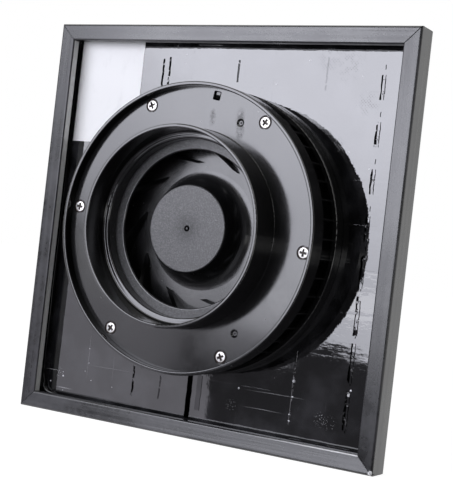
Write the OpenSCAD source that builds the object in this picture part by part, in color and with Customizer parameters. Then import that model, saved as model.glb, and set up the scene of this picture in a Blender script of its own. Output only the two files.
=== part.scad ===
// Solar attic fan: a framed solar panel that carries a louvred centrifugal extractor on its back.
// Every sub-part is drawn about the fan axis. Heights run along that axis from the roof seat, which
// is the top of the flange rim: positive towards the open end of the spigot, negative towards the
// panel. stand_up() then turns the fan axis to -Y and the height of the panel to +Z.

/* [Panel frame] */
// Width of the panel over its frame
panel_w = 240; // [220:1:300]
// Height of the panel over its frame
panel_h = 240; // [220:1:300]
// Depth of the frame extrusion, rear face to front face
frame_depth = 17; // [15:0.5:30]
// Width of the rear lip of the frame
rear_lip_w = 10; // [8:0.5:12]
// Width of the front lip that covers the edge of the glass
front_lip_w = 6; // [5:0.5:8]
// Width of the shelf that carries the laminate
shelf_w = 5.5; // [4:0.5:7]
// Wall thickness of the frame extrusion
frame_wall = 1.3; // [1:0.1:2]
// Radius of the outer front edge of the frame
front_edge_r = 2.6; // [1:0.1:3]
// Radius of the outer rear edge of the frame
rear_edge_r = 1.3; // [0.3:0.1:1.6]
// Radius of the free edges of the lips
lip_end_r = 0.4; // [0.2:0.1:0.5]
// Depth of the hem turned in from the rear lip
hem_h = 5.5; // [3:0.1:7]
// Radius of the edge between the rear lip and its hem
hem_r = 1.1; // [0.4:0.1:1.3]
// Width of the mitre joint left at each corner
mitre_gap = 0.4; // [0.1:0.1:0.6]
// Length of each leg of a corner key
key_leg = 24; // [15:1:40]
// Thickness of a corner key
key_t = 2.6; // [1.5:0.1:5]
// Radius of the inner bend of a corner key
key_bend_r = 4; // [1:0.5:6]

/* [Laminate] */
// Thickness of the cover glass
glass_t = 3.2; // [2:0.1:4]
// Thickness of the encapsulant behind the glass
encapsulant_t = 0.6; // [0.5:0.05:1]
// Thickness of the backsheet
backsheet_t = 0.4; // [0.2:0.05:0.6]
// Space between the laminate edge and the frame wall, filled with tape
edge_gap = 0.9; // [0.5:0.1:1.5]
// Width of the sealant bead beside the shelf
bead_w = 1.8; // [1:0.1:4]
// Height of the sealant bead on the backsheet
bead_h = 0.9; // [0.4:0.1:1]
// Inner corner radius of the sealant bead
bead_corner_r = 3; // [2:0.5:4]

/* [Solar cells] */
// Columns of cells across the panel
cell_columns = 4; // [2:1:5]
// Rows of cells up the panel
cell_rows = 9; // [6:1:10]
// Distance of the cells from the sides of the panel
cell_margin_x = 8.6; // [8:0.1:20]
// Distance of the cells from the top and bottom of the panel
cell_margin_y = 9.9; // [8:0.1:20]
// Space between neighbouring cells
cell_gap = 1.2; // [0.5:0.1:1.6]
// Thickness of a cell
cell_t = 0.2; // [0.15:0.01:0.25]
// Distance of each ribbon from the middle of its cell
ribbon_offset = 14.5; // [5:0.5:20]
// Width of a cell ribbon
ribbon_w = 1.6; // [1:0.1:3]
// Thickness of a cell ribbon
ribbon_t = 0.15; // [0.1:0.01:0.2]

/* [Label] */
// Width of the rating label
label_w = 47; // [20:1:50]
// Height of the rating label
label_h = 64; // [20:1:66]
// Thickness of the rating label
label_t = 0.15; // [0.1:0.05:0.3]
// Distance of the label from the left edge of the panel
label_left = 9.2; // [8:0.1:12]
// Distance of the label from the top edge of the panel
label_top = 7.6; // [7.5:0.1:10]

/* [Fan housing] */
// Height of the housing from the backsheet to the roof seat
housing_h = 37.3; // [37:0.1:45]
// Radius of the housing and of the flange rim
housing_r = 82.6; // [81.5:0.1:90]
// Turn of the housing about the fan axis
housing_turn = -5; // [-30:1:30]
// Thickness of the adhesive under the housing
bond_t = 0.5; // [0.2:0.1:1]
// Width of the adhesive ring
bond_w = 18; // [8:1:25]
// Thickness of the base plate
base_t = 2.5; // [2:0.1:4]
// Height of the base wall above the base plate
base_wall_h = 5; // [2:0.5:8]
// Thickness of the base wall
base_wall = 3.1; // [2.8:0.1:4]
// Number of louvre vanes round the housing
vane_count = 46; // [24:1:60]
// Thickness of a louvre vane
vane_t = 1.1; // [0.8:0.1:2]
// Radial depth of a louvre vane
vane_depth = 4.1; // [2.5:0.1:5]
// Depth of the outer face of a vane below the hoop
vane_inset = 0.2; // [0.1:0.05:0.4]
// Radius of the outer edges of a vane
vane_edge_r = 0.35; // [0.2:0.05:0.4]
// Height of the hoop that ties the tips of the vanes
hoop_h = 2; // [1.5:0.1:2.5]
// Thickness of the hoop
hoop_t = 2; // [1.2:0.1:2.5]
// Radius of a screw boss
boss_r = 4.2; // [3.5:0.1:4.6]
// Height of the motor bosses on the base plate
motor_boss_h = 3; // [2:0.1:4]
// Radius of a motor boss
motor_boss_r = 3.4; // [3:0.1:4]
// Clearance between the housing and what is fitted to it
housing_fit = 0.3; // [0.2:0.05:0.5]

/* [Intake flange] */
// Height of the rim above the flange face
rim_h = 5.3; // [3:0.1:6]
// Thickness of the rim wall
rim_wall = 2.2; // [1.8:0.1:2.4]
// Height of the outer skirt below the roof seat
skirt_h = 12; // [10.5:0.5:15]
// Thickness of the flange plate
flange_t = 2.4; // [2:0.1:3]
// Edge radius of the rim and of the spigot
lip_edge_r = 0.7; // [0.2:0.1:0.8]
// Outside diameter of the spigot
spigot_d = 113; // [108:0.5:114]
// Length of the spigot above the roof seat
spigot_h = 14.5; // [8:0.5:40]
// Wall thickness of the spigot
spigot_wall = 2.2; // [1.8:0.1:2.5]
// Depth of the rounded ledge inside the spigot, below the roof seat
ledge_drop = 2; // [0:0.1:4]
// Width of the ledge inside the spigot
ledge_w = 3.6; // [3:0.1:4]
// Edge radius of the ledge
ledge_edge_r = 1.4; // [0.5:0.1:1.5]
// Radius of the hollow between the ledge and the spigot wall
ledge_fillet_r = 1.5; // [0.5:0.1:1.6]
// Radius of the hollow around the foot of the spigot
foot_fillet_r = 0.4; // [0.2:0.1:0.4]
// Height of the toe of that hollow
foot_toe = 0.1; // [0.1:0.05:0.2]
// Depth of the inlet ring below the roof seat
ring_drop = 9.8; // [9:0.1:10.5]
// Thickness of the inlet ring
ring_t = 1.7; // [1.2:0.1:2]
// Inner radius of the inlet ring
inlet_r = 45.2; // [44:0.1:47]
// Number of flange screws
screw_count = 6; // [3:1:8]
// Distance of the flange screws from the outside of the rim
screw_inset = 7.1; // [6.6:0.1:7.6]
// Height of a rib under the flange
rib_h = 2; // [1:0.1:2.4]
// Thickness of a rib under the flange
rib_t = 1.6; // [1:0.1:2]
// Number of moulding dimples on the flange face
dimple_count = 3; // [1:1:6]
// Distance of the dimples from the outside of the spigot
dimple_out = 10.5; // [6:0.5:12]
// Direction of the first dimple
dimple_angle = 70.5; // [62:0.5:80]
// Radius of a dimple
dimple_r = 2.4; // [2.2:0.1:3]
// Depth of a dimple
dimple_depth = 0.8; // [0.3:0.1:1.5]
// Radius of the floor of a dimple
dimple_floor_r = 1.2; // [0.9:0.1:2]
// Radius of the pit in the middle of a dimple
pit_r = 0.5; // [0.3:0.1:0.7]
// Depth of the pit below the flange face
pit_depth = 1.6; // [1:0.1:1.8]
// Radial length of the latch window
window_l = 5.2; // [3:0.1:5.5]
// Tangential width of the latch window
window_w = 4.8; // [3:0.1:6]
// Corner radius of the latch window
window_corner_r = 0.8; // [0.3:0.1:1.2]
// Distance of the middle of the latch window from the outside of the rim
window_inset = 6.3; // [6.1:0.1:7.6]
// Direction of the latch window
window_angle = 86.8; // [80:0.1:100]
// Tangential width of the latch in the window
latch_w = 2.4; // [1.5:0.1:2.6]
// Radial thickness of the latch
latch_t = 1.6; // [1:0.1:2]
// Space between the latch and the end of the window
latch_gap = 0.5; // [0.2:0.1:1]
// Depth of the end of the latch below the flange face
latch_drop = 1; // [0.5:0.1:2]

/* [Fasteners] */
// Head diameter of a flange screw
screw_head_d = 7; // [5.5:0.1:7]
// Head height of a flange screw
screw_head_h = 1.7; // [1.2:0.1:2]
// Shank diameter of a flange screw
screw_d = 3; // [2.5:0.1:3.5]
// Length of a flange screw under its head
screw_l = 12; // [8:0.5:16]
// Gap round a flange screw head in its recess
head_gap = 0.5; // [0.2:0.1:0.7]
// Depth of the head recess in the flange face
head_recess = 1.4; // [0.8:0.1:1.6]
// Width of the arms of a cross recess
cross_w = 1.1; // [0.6:0.1:1.2]
// Length of the arms of a cross recess
cross_l = 4; // [2:0.1:4.4]
// Depth of a cross recess
cross_depth = 0.9; // [0.4:0.1:1]
// Head diameter of a motor screw
motor_screw_head_d = 4.6; // [4:0.1:5]
// Head height of a motor screw
motor_screw_head_h = 1.5; // [1:0.1:1.6]
// Shank diameter of a motor screw
motor_screw_d = 2.5; // [2:0.1:3]
// Length of a motor screw under its head
motor_screw_l = 6; // [5:0.1:6.4]
// Radial clearance of a screw in its hole
screw_fit = 0.1; // [0.05:0.01:0.2]
// Radius of the dome of a screw head, as a multiple of the head radius
dome_ratio = 5; // [2:0.1:6]

/* [Impeller] */
// Distance of the edge of the impeller from the outside of the housing
wheel_inset = 15.6; // [14:0.1:20]
// Height of the blades between back plate and shroud
blade_h = 10; // [8:0.1:12]
// Number of blades
blade_count = 10; // [6:1:13]
// Thickness of a blade
blade_t = 1.6; // [1.2:0.1:2.5]
// Radius of the inner tip of a blade
blade_in_r = 39.5; // [37:0.5:43]
// Distance of the outer blade tips from the edge of the wheel
blade_tip_inset = 1; // [0.5:0.1:2]
// Angle of a blade to the rim direction at its inner tip
blade_in_angle = 20; // [15:1:30]
// Angle of a blade to the rim direction at its outer tip
blade_out_angle = 40; // [32:1:50]
// Direction of the first inner tip
blade_phase = 27; // [0:1:90]
// Thickness of the back plate
wheel_plate_t = 1.8; // [1.4:0.1:2.2]
// Thickness of the shroud ring
shroud_t = 1.7; // [1.3:0.1:2]
// Axial gap between the inlet ring and the shroud
shroud_gap = 0.8; // [0.5:0.1:1.2]
// Radial gap between the edge of the inlet ring and the shroud eye
eye_gap = 1.8; // [0.5:0.1:2.5]
// Distance of the blade tops from the shroud eye
blade_top_inset = 0.6; // [0.3:0.1:1.2]
// Distance by which the slope of the leading edges starts inside the inner tips
blade_slope_inset = 1; // [0.5:0.1:2]
// Radius of the hub
hub_r = 24.9; // [24:0.1:26]
// Height of the hub above the back plate
hub_h = 17.4; // [16:0.1:18]
// Wall thickness of the hub
hub_wall = 1.8; // [1.4:0.1:2]
// Thickness of the hub face
hub_face_t = 2.4; // [1.5:0.1:2.6]
// Edge radius of the hub face
hub_edge_r = 0.7; // [0.3:0.1:1.2]
// Radius of the flare between hub and back plate
hub_flare_r = 9.6; // [6:0.1:11]
// Radius of the gate dimple in the hub face
hub_dimple_r = 1.8; // [1.2:0.1:2.2]
// Depth of the gate dimple in the hub face
hub_dimple_depth = 1.1; // [0.4:0.1:1.3]
// Radius of the pip in the middle of the gate dimple
hub_pip_r = 0.5; // [0.2:0.1:0.8]

/* [Motor] */
// Thickness of the rotor yoke
yoke_t = 1.5; // [1:0.1:1.6]
// Height of the skirt of the rotor yoke
yoke_h = 15; // [13:0.1:15.5]
// Thickness of the magnet ring
magnet_t = 2.4; // [1.5:0.1:3]
// Height of the magnet ring
magnet_h = 12; // [9:0.1:12.5]
// Air gap between the magnets and the stator
air_gap = 0.5; // [0.3:0.05:0.8]
// Radial glue line between parts that are bonded together
glue_fit = 0.05; // [0.02:0.01:0.1]
// Number of stator teeth
tooth_count = 9; // [6:3:12]
// Width of a stator tooth
tooth_w = 3.2; // [2.5:0.1:4]
// Radial thickness of the tooth tips
tooth_tip_t = 1.6; // [1.2:0.1:2]
// Slot left between neighbouring tooth tips
tooth_slot = 1.6; // [1:0.1:2.5]
// Outer radius of the stator yoke ring
stator_core_r = 9.2; // [8.8:0.1:10]
// Height of the stator stack
stator_h = 9; // [7:0.1:9.5]
// Thickness of a coil
coil_t = 1.3; // [0.8:0.1:1.4]
// Radial length of a coil
coil_l = 5; // [3:0.1:5.4]
// Clearance between the coils and the yoke
coil_clear = 1; // [0.5:0.1:1.5]
// Radius of the motor shaft
shaft_r = 2; // [1.5:0.1:2.5]
// Running clearance of the shaft in its bearings
shaft_fit = 0.02; // [0.01:0.01:0.1]
// Outside radius of a bearing
bearing_r = 5.5; // [5:0.1:6]
// Width of a bearing
bearing_w = 4; // [3:0.1:4.5]
// Radial width of a bearing ring
bearing_ring_t = 1; // [0.7:0.1:1.2]
// Depth of the shield recess in a bearing face
bearing_recess = 0.3; // [0.1:0.1:0.6]
// Radial clearance of a bearing in its tube
bearing_fit = 0.02; // [0.01:0.01:0.05]
// Outside radius of the bearing tube
tube_r = 7; // [6.6:0.1:7.5]
// End clearance of the bearing tube and of what runs in it
tube_clear = 0.2; // [0.1:0.05:0.3]
// Distance of the bearing tube from the rotor yoke
tube_end = 1.4; // [1:0.1:2]
// Thickness of the retaining clip
clip_t = 0.5; // [0.4:0.1:0.8]
// Outside radius of the retaining clip
clip_r = 3.6; // [3:0.1:4]
// Depth of the clip groove in the shaft
clip_groove = 0.4; // [0.2:0.1:0.6]
// Clearance between the clip and the lower bearing
clip_clear = 0.2; // [0.1:0.1:0.4]
// Width of the mouth of the retaining clip
clip_mouth = 2.6; // [1.5:0.1:2.8]
// Thickness of the disc of the motor base
motor_disc_t = 2.2; // [1.8:0.1:2.4]
// Radius of the disc of the motor base
motor_disc_r = 32; // [31.5:0.1:33]
// Number of motor screws
motor_screw_count = 3; // [3:1:4]
// Radius of the circle of motor screws
motor_screw_circle_r = 28; // [27.5:0.1:28.4]
// Radius of the circuit board
board_r = 23.5; // [21:0.1:24]
// Thickness of the circuit board
board_t = 1.2; // [0.8:0.1:1.6]
// Height of the posts under the circuit board
board_post_h = 1.5; // [1.2:0.1:1.6]
// Radius of a post under the circuit board
board_post_r = 2; // [1:0.1:2.5]
// Distance of the posts from the edge of the circuit board
board_post_inset = 1; // [0.5:0.1:2]
// Length, width and height of the driver chip
chip_size = [5, 4, 1.4];
// Length, width and height of a position sensor
sensor_size = [3, 2, 1];
// Radius of a capacitor
capacitor_r = 2; // [1.5:0.1:2.2]
// Height of a capacitor
capacitor_h = 1.8; // [1:0.1:2]
// Radius of the circle of the chip and the capacitors
chip_circle_r = 14; // [13:0.5:16]
// Direction of the driver chip
chip_angle = 120; // [100:5:150]
// Direction of the first capacitor
capacitor_angle = 200; // [180:5:220]
// Radius of the circle of the position sensors
sensor_circle_r = 18.5; // [18:0.1:19]
// Direction of the first position sensor
sensor_angle = 80; // [70:5:90]
// Radius of a lead
lead_r = 0.8; // [0.5:0.1:1]
// Distance of the leads from the fan axis
lead_circle_r = 16; // [14:0.5:18]
// Distance between the two leads
lead_pitch = 6; // [4:0.5:8]
// Gap round a lead in the holes that it passes
lead_gap = 0.5; // [0.3:0.1:1]
// Length of a solder tab
tab_l = 8; // [5:0.5:12]
// Width of a solder tab
tab_w = 3; // [2:0.1:3.5]
// Thickness of a solder tab
tab_t = 0.3; // [0.1:0.05:0.4]

/* [Hidden] */

$fn = 96;
// Overlap that makes a cut run clear through a face
cut = 1;

// Laminate levels, from the backsheet towards the glass
z_sheet = -housing_h;
z_sheet_front = z_sheet - backsheet_t;
z_glass_rear = z_sheet_front - encapsulant_t;
z_glass_front = z_glass_rear - glass_t;
z_ribbon_rear = z_glass_rear + ribbon_t;
z_cell_rear = z_ribbon_rear + cell_t;
z_frame_front = z_glass_front - frame_wall;
z_frame_rear = z_frame_front + frame_depth;
laminate_w = panel_w - 2 * (frame_wall + edge_gap);
laminate_h = panel_h - 2 * (frame_wall + edge_gap);
groove_w = panel_w - 2 * frame_wall;
groove_h = panel_h - 2 * frame_wall;
shelf_depth = z_frame_rear - z_sheet;

// Cell field
cell_pitch_x = (panel_w - 2 * cell_margin_x + cell_gap) / cell_columns;
cell_pitch_y = (panel_h - 2 * cell_margin_y + cell_gap) / cell_rows;
cell_w = cell_pitch_x - cell_gap;
cell_h = cell_pitch_y - cell_gap;
cell_field_h = panel_h - 2 * cell_margin_y;

// Housing levels and radii
z_base = z_sheet + bond_t;
z_base_top = z_base + base_t;
z_base_wall = z_base_top + base_wall_h;
z_face = -rim_h;
z_plate = z_face - flange_t;
z_skirt = -skirt_h;
z_ring = -ring_drop;
z_ring_under = z_ring - ring_t;
rim_in_r = housing_r - rim_wall;
vane_out_r = rim_in_r - housing_fit;
screw_circle_r = housing_r - screw_inset;
window_circle_r = housing_r - window_inset;
latch_out_r = window_circle_r + window_l / 2 - latch_gap;
spigot_r = spigot_d / 2;
dimple_circle_r = spigot_r + dimple_out;
spigot_in_r = spigot_r - spigot_wall;
ledge_r = spigot_in_r - ledge_w;
z_boss = z_plate - rib_h;
z_hoop = z_boss - housing_fit;
screw_step = 360 / screw_count;
z_head_seat = z_face - head_recess;
screw_hole_depth = screw_l - (z_head_seat - z_boss) + cut;
collar_foot_r = spigot_r - spigot_wall / 2;
plate_bore_r = collar_foot_r + glue_fit;
rib_in_r = plate_bore_r + rib_t;
rib_out_r = screw_circle_r - boss_r / 2;

// Impeller levels
z_shroud = z_ring_under - shroud_gap;
z_blade_top = z_shroud - shroud_t;
z_wheel = z_blade_top - blade_h;
z_wheel_under = z_wheel - wheel_plate_t;
z_hub = z_wheel + hub_h;
z_hub_ceiling = z_hub - hub_face_t;
hub_in_r = hub_r - hub_wall;
eye_r = inlet_r + eye_gap;
flare_center = [hub_r + hub_flare_r, z_wheel + hub_flare_r];
wheel_r = housing_r - wheel_inset;
blade_step = 360 / blade_count;
blade_out_r = wheel_r - blade_tip_inset;
// Radius of the arc that meets the inner and outer tip circles at the two blade angles
blade_arc_r = (blade_out_r * blade_out_r - blade_in_r * blade_in_r)
    / (2 * (blade_out_r * cos(blade_out_angle) - blade_in_r * cos(blade_in_angle)));
blade_arc_center = [blade_in_r - blade_arc_r * cos(blade_in_angle), blade_arc_r * sin(blade_in_angle)];

// Motor levels
yoke_r = hub_in_r - glue_fit;
yoke_in_r = yoke_r - yoke_t;
z_yoke_in = z_hub_ceiling - yoke_t;
magnet_r = yoke_in_r - glue_fit;
magnet_in_r = magnet_r - magnet_t;
stator_r = magnet_in_r - air_gap;
z_stator = z_yoke_in - coil_clear - coil_t;
z_stator_under = z_stator - stator_h;
z_motor_seat = z_base_top + motor_boss_h;
z_motor_disc = z_motor_seat + motor_disc_t;
z_board = z_motor_disc + board_post_h;
z_board_top = z_board + board_t;
z_tube_top = z_yoke_in - tube_end;
z_tube_under = z_base_top + tube_clear;
z_bearing_top = z_tube_top - tube_clear;
z_shaft_under = z_tube_under + tube_clear;
z_bearing_under = z_shaft_under + clip_t + clip_t + clip_clear;
bearing_bore_r = shaft_r + shaft_fit;
tube_waist_r = bearing_r - bearing_ring_t;
stator_seat_r = tube_r + bearing_ring_t;
board_post_circle_r = board_r - board_post_r - board_post_inset;
tooth_root_r = (stator_core_r + tube_r) / 2;
tooth_end_r = stator_r - tooth_tip_t;
coil_half_w = tooth_w / 2 + coil_t;
coil_out_r = sqrt(tooth_end_r * tooth_end_r - coil_half_w * coil_half_w) - glue_fit;
coil_in_r = coil_out_r - coil_l;
z_lead_under = z_sheet + tab_t;

// Turns the fan axis to -Y and the height of the panel to +Z
module stand_up() {
    rotate([90, 0, 0]) children();
}

// Repeats a child on a circle
module ring_of(count, radius, start = 0) {
    for (i = [0 : count - 1])
        rotate([0, 0, start + i * 360 / count]) translate([radius, 0, 0]) children();
}

// Plate centred on the fan axis between two levels
module plate(w, h, z0, z1) {
    translate([-w / 2, -h / 2, z0]) cube([w, h, z1 - z0]);
}

// Disc or pin between two levels
module pin(r, z0, z1) {
    translate([0, 0, z0]) cylinder(r = r, h = z1 - z0);
}

// Section of a wall whose two upper edges are rounded
module capped_wall(r0, r1, z0, z1, edge) {
    translate([r0, z0]) square([r1 - r0, z1 - z0 - edge]);
    translate([r0 + edge, z0]) square([r1 - r0 - 2 * edge, z1 - z0]);
    translate([r0 + edge, z1 - edge]) circle(r = edge);
    translate([r1 - edge, z1 - edge]) circle(r = edge);
}

// Square corner left over outside a rounded edge, for cutting
module edge_cutter(r) {
    difference() {
        translate([-cut, -cut]) square(r + cut);
        translate([r, r]) circle(r = r);
    }
}

// Section of a hollow between a wall on the left and a floor below, set into them by a depth
module hollow(r, into, toe = 0) {
    floor_in = toe > 0 ? toe : into;
    difference() {
        square([into + r, floor_in + r]);
        translate([into + r, floor_in + r]) circle(r = r);
    }
}

// Lip of the frame section, from the outer face to a rounded free end
module frame_lip(w) {
    translate([0, frame_wall]) rotate(-90) capped_wall(0, frame_wall, 0, w, lip_end_r);
}

// Section of the frame: x runs inwards from the outer face, y runs back from the front face
module frame_section() {
    difference() {
        union() {
            square([frame_wall, frame_depth]);
            frame_lip(front_lip_w);
            translate([0, frame_depth - frame_wall]) square([rear_lip_w, frame_wall]);
            translate([0, frame_depth]) mirror([0, 1])
                capped_wall(rear_lip_w - frame_wall, rear_lip_w, 0, hem_h, lip_end_r);
            translate([0, frame_depth - shelf_depth]) frame_lip(shelf_w);
        }
        edge_cutter(front_edge_r);
        translate([0, frame_depth]) mirror([0, 1]) edge_cutter(rear_edge_r);
        translate([rear_lip_w, frame_depth]) rotate(180) edge_cutter(hem_r);
    }
}

// Frame member along X, its outer face on y = 0 and its inner side towards +Y, with mitred ends
module frame_member(span) {
    reach = rear_lip_w + cut;
    half = span / 2 - mitre_gap / 2;
    translate([0, 0, z_frame_front])
        intersection() {
            translate([-span / 2, 0, 0]) rotate([90, 0, 90]) linear_extrude(span) frame_section();
            translate([0, 0, -cut]) linear_extrude(frame_depth + 2 * cut)
                polygon([
                    [-half - cut, -cut], [half + cut, -cut],
                    [half - reach, reach], [reach - half, reach]
                ]);
        }
}

module frame_bottom() {
    color("#3a3b3f") stand_up()
        translate([0, -panel_h / 2, 0]) frame_member(panel_w);
}

module frame_top() {
    color("#3a3b3f") stand_up()
        translate([0, panel_h / 2, 0]) rotate([0, 0, 180]) frame_member(panel_w);
}

module frame_left() {
    color("#3a3b3f") stand_up()
        translate([-panel_w / 2, 0, 0]) rotate([0, 0, -90]) frame_member(panel_h);
}

module frame_right() {
    color("#3a3b3f") stand_up()
        translate([panel_w / 2, 0, 0]) rotate([0, 0, 90]) frame_member(panel_h);
}

// Angle key in the corner of the channel, with its corner at the origin and legs along +X and +Y
module corner_key() {
    bend = key_t + key_bend_r;
    linear_extrude(shelf_depth - frame_wall - frame_wall)
        union() {
            square([key_leg, key_t]);
            square([key_t, key_leg]);
            difference() {
                square(bend);
                translate([bend, bend]) circle(r = key_bend_r);
            }
        }
}

module corner_keys() {
    color("#8b8d90") stand_up()
        for (sx = [0, 1], sy = [0, 1])
            mirror([sx, 0, 0]) mirror([0, sy, 0])
                translate([-groove_w / 2, -groove_h / 2, z_sheet + frame_wall]) corner_key();
}

module cover_glass() {
    color("#9fb4c4", 0.4) stand_up()
        plate(laminate_w, laminate_h, z_glass_front, z_glass_rear);
}

// Centres of the cells
function cell_x(i) = (i - (cell_columns - 1) / 2) * cell_pitch_x;
function cell_y(j) = (j - (cell_rows - 1) / 2) * cell_pitch_y;

// Every cell, between two levels
module cell_field(z0, z1) {
    for (i = [0 : cell_columns - 1], j = [0 : cell_rows - 1])
        translate([cell_x(i), cell_y(j), 0]) plate(cell_w, cell_h, z0, z1);
}

// Two ribbons down each column of cells
module ribbon_field(z0, z1) {
    for (i = [0 : cell_columns - 1], side = [-1, 1])
        translate([cell_x(i) + side * ribbon_offset, 0, 0]) plate(ribbon_w, cell_field_h, z0, z1);
}

module solar_cells() {
    color("#141c34") stand_up()
        cell_field(z_ribbon_rear, z_cell_rear);
}

module cell_ribbons() {
    color("#c8ccd0") stand_up()
        ribbon_field(z_glass_rear, z_ribbon_rear);
}

module encapsulant() {
    color("#1b1c20") stand_up()
        difference() {
            plate(laminate_w, laminate_h, z_glass_rear, z_sheet_front);
            cell_field(z_glass_rear - cut, z_cell_rear);
            ribbon_field(z_glass_rear - cut, z_ribbon_rear);
        }
}

module backsheet() {
    color("#0c0c0e") stand_up()
        plate(laminate_w, laminate_h, z_sheet_front, z_sheet);
}

module edge_tape() {
    color("#202022") stand_up()
        difference() {
            plate(groove_w, groove_h, z_glass_front, z_sheet);
            plate(laminate_w, laminate_h, z_glass_front - cut, z_sheet + cut);
        }
}

// Outline with rounded corners
module rounded_outline(w, h, r) {
    square([w - 2 * r, h], center = true);
    square([w, h - 2 * r], center = true);
    for (sx = [-1, 1], sy = [-1, 1])
        translate([sx * (w / 2 - r), sy * (h / 2 - r)]) circle(r = r);
}

module edge_sealant() {
    outer_w = panel_w - 2 * shelf_w;
    outer_h = panel_h - 2 * shelf_w;
    color("#0a0a0b") stand_up()
        translate([0, 0, z_sheet]) linear_extrude(bead_h)
            difference() {
                square([outer_w, outer_h], center = true);
                rounded_outline(outer_w - 2 * bead_w, outer_h - 2 * bead_w, bead_corner_r);
            }
}

// Label on the backsheet, trimmed where its corner meets the housing
module rating_label() {
    color("#f2f2f0") stand_up()
        difference() {
            translate([label_left - panel_w / 2, panel_h / 2 - label_top - label_h, z_sheet])
                cube([label_w, label_h, label_t]);
            pin(housing_r + housing_fit, z_sheet - cut, z_sheet + label_t + cut);
        }
}

// Puts a child at each of the two leads
module at_leads() {
    for (side = [-1, 1])
        translate([lead_circle_r, side * lead_pitch / 2, 0]) children();
}

module solder_tabs() {
    color("#b9834a") stand_up()
        at_leads() plate(tab_l, tab_w, z_sheet, z_lead_under);
}

module motor_leads() {
    color("#a02020") stand_up()
        at_leads() pin(lead_r, z_lead_under, z_board);
}

module bonding_ring() {
    color("#17171a") stand_up()
        difference() {
            pin(housing_r - bond_t, z_sheet, z_base);
            pin(housing_r - bond_t - bond_w, z_sheet - cut, z_base + cut);
        }
}

module housing_section() {
    translate([0, z_base]) square([housing_r, base_t]);
    capped_wall(housing_r - base_wall, housing_r, z_base, z_base_wall, lip_edge_r);
    translate([vane_out_r - hoop_t, z_hoop - hoop_h]) square([hoop_t, hoop_h]);
}

// One louvre vane, its rounded edge outwards
module louvre_vane() {
    translate([0, 0, z_base_top - base_t / 2]) linear_extrude(z_hoop - z_base_top + base_t / 2)
        rotate(-90) capped_wall(-vane_t / 2, vane_t / 2, -vane_depth, 0, vane_edge_r);
}

// Latch that stands up from the hoop into the window of the flange
module housing_latch() {
    in_r = latch_out_r - latch_t;
    foot_l = vane_out_r - hoop_t / 2 - in_r;
    translate([in_r, -latch_w / 2, z_hoop - hoop_h]) {
        cube([foot_l, latch_w, hoop_h]);
        cube([latch_t, latch_w, z_face - latch_drop - z_hoop + hoop_h]);
    }
}

module louvred_housing() {
    color("#121214") stand_up()
        rotate([0, 0, housing_turn])
            difference() {
                union() {
                    rotate_extrude() housing_section();
                    ring_of(vane_count, vane_out_r - vane_inset, screw_step / 2) louvre_vane();
                    rotate([0, 0, window_angle]) housing_latch();
                    ring_of(screw_count, screw_circle_r) pin(boss_r, z_base_top - base_t / 2, z_boss);
                    ring_of(motor_screw_count, motor_screw_circle_r, screw_step)
                        pin(motor_boss_r, z_base_top - base_t / 2, z_motor_seat);
                }
                ring_of(screw_count, screw_circle_r)
                    pin(screw_d / 2 + screw_fit, z_boss - screw_hole_depth, z_boss + cut);
                ring_of(motor_screw_count, motor_screw_circle_r, screw_step)
                    pin(motor_screw_d / 2 + screw_fit, z_motor_disc - motor_screw_l, z_motor_seat + cut);
                rotate([0, 0, -housing_turn]) at_leads()
                    pin(lead_r + lead_gap, z_base - cut, z_base_top + cut);
            }
}

module flange_section() {
    capped_wall(rim_in_r, housing_r, z_skirt, 0, lip_edge_r);
    translate([plate_bore_r, z_plate]) square([rim_in_r - plate_bore_r + rim_wall / 2, flange_t]);
}

// Section of the spigot, its foot in the flange, the ledge inside it and the inlet ring
module collar_section() {
    capped_wall(spigot_in_r, spigot_r, z_face, spigot_h, lip_edge_r);
    translate([spigot_in_r, z_plate]) square([collar_foot_r - spigot_in_r, flange_t + lip_edge_r]);
    capped_wall(ledge_r, spigot_in_r + lip_edge_r, z_ring_under, -ledge_drop, ledge_edge_r);
    translate([spigot_in_r + lip_edge_r / 2, -ledge_drop - lip_edge_r / 2]) mirror([1, 0])
        hollow(ledge_fillet_r, lip_edge_r / 2);
    translate([spigot_r - lip_edge_r / 2, z_face]) hollow(foot_fillet_r, lip_edge_r / 2, foot_toe);
    translate([inlet_r + ring_t / 2, z_ring_under]) square([ledge_r - inlet_r, ring_t]);
    translate([inlet_r + ring_t / 2, z_ring_under + ring_t / 2]) circle(r = ring_t / 2);
}

module intake_collar() {
    color("#131315") stand_up()
        rotate_extrude() collar_section();
}

// Radial rib under the flange plate
module flange_rib() {
    translate([rib_in_r, -rib_t / 2, z_boss]) cube([rib_out_r - rib_in_r, rib_t, rib_h + flange_t / 2]);
}

// Dished recess with a pit in the middle, for cutting
module flange_dimple() {
    slope = (dimple_r - dimple_floor_r) / dimple_depth;
    translate([0, 0, z_face - dimple_depth])
        cylinder(r1 = dimple_floor_r, r2 = dimple_r + slope * cut, h = dimple_depth + cut);
    pin(pit_r, z_face - pit_depth, z_face);
}

module intake_flange() {
    color("#131315") stand_up()
        rotate([0, 0, housing_turn])
            difference() {
                union() {
                    rotate_extrude() flange_section();
                    ring_of(screw_count, screw_circle_r) pin(boss_r, z_boss, z_plate + flange_t / 2);
                    ring_of(screw_count, 0) flange_rib();
                }
                ring_of(screw_count, screw_circle_r) {
                    pin(screw_head_d / 2 + head_gap, z_head_seat, z_face + cut);
                    pin(screw_d / 2 + screw_fit, z_boss - cut, z_face + cut);
                }
                ring_of(dimple_count, dimple_circle_r, dimple_angle) flange_dimple();
                rotate([0, 0, window_angle]) translate([window_circle_r, 0, z_plate - cut])
                    linear_extrude(flange_t + 2 * cut)
                        rounded_outline(window_l, window_w, window_corner_r);
            }
}

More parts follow.
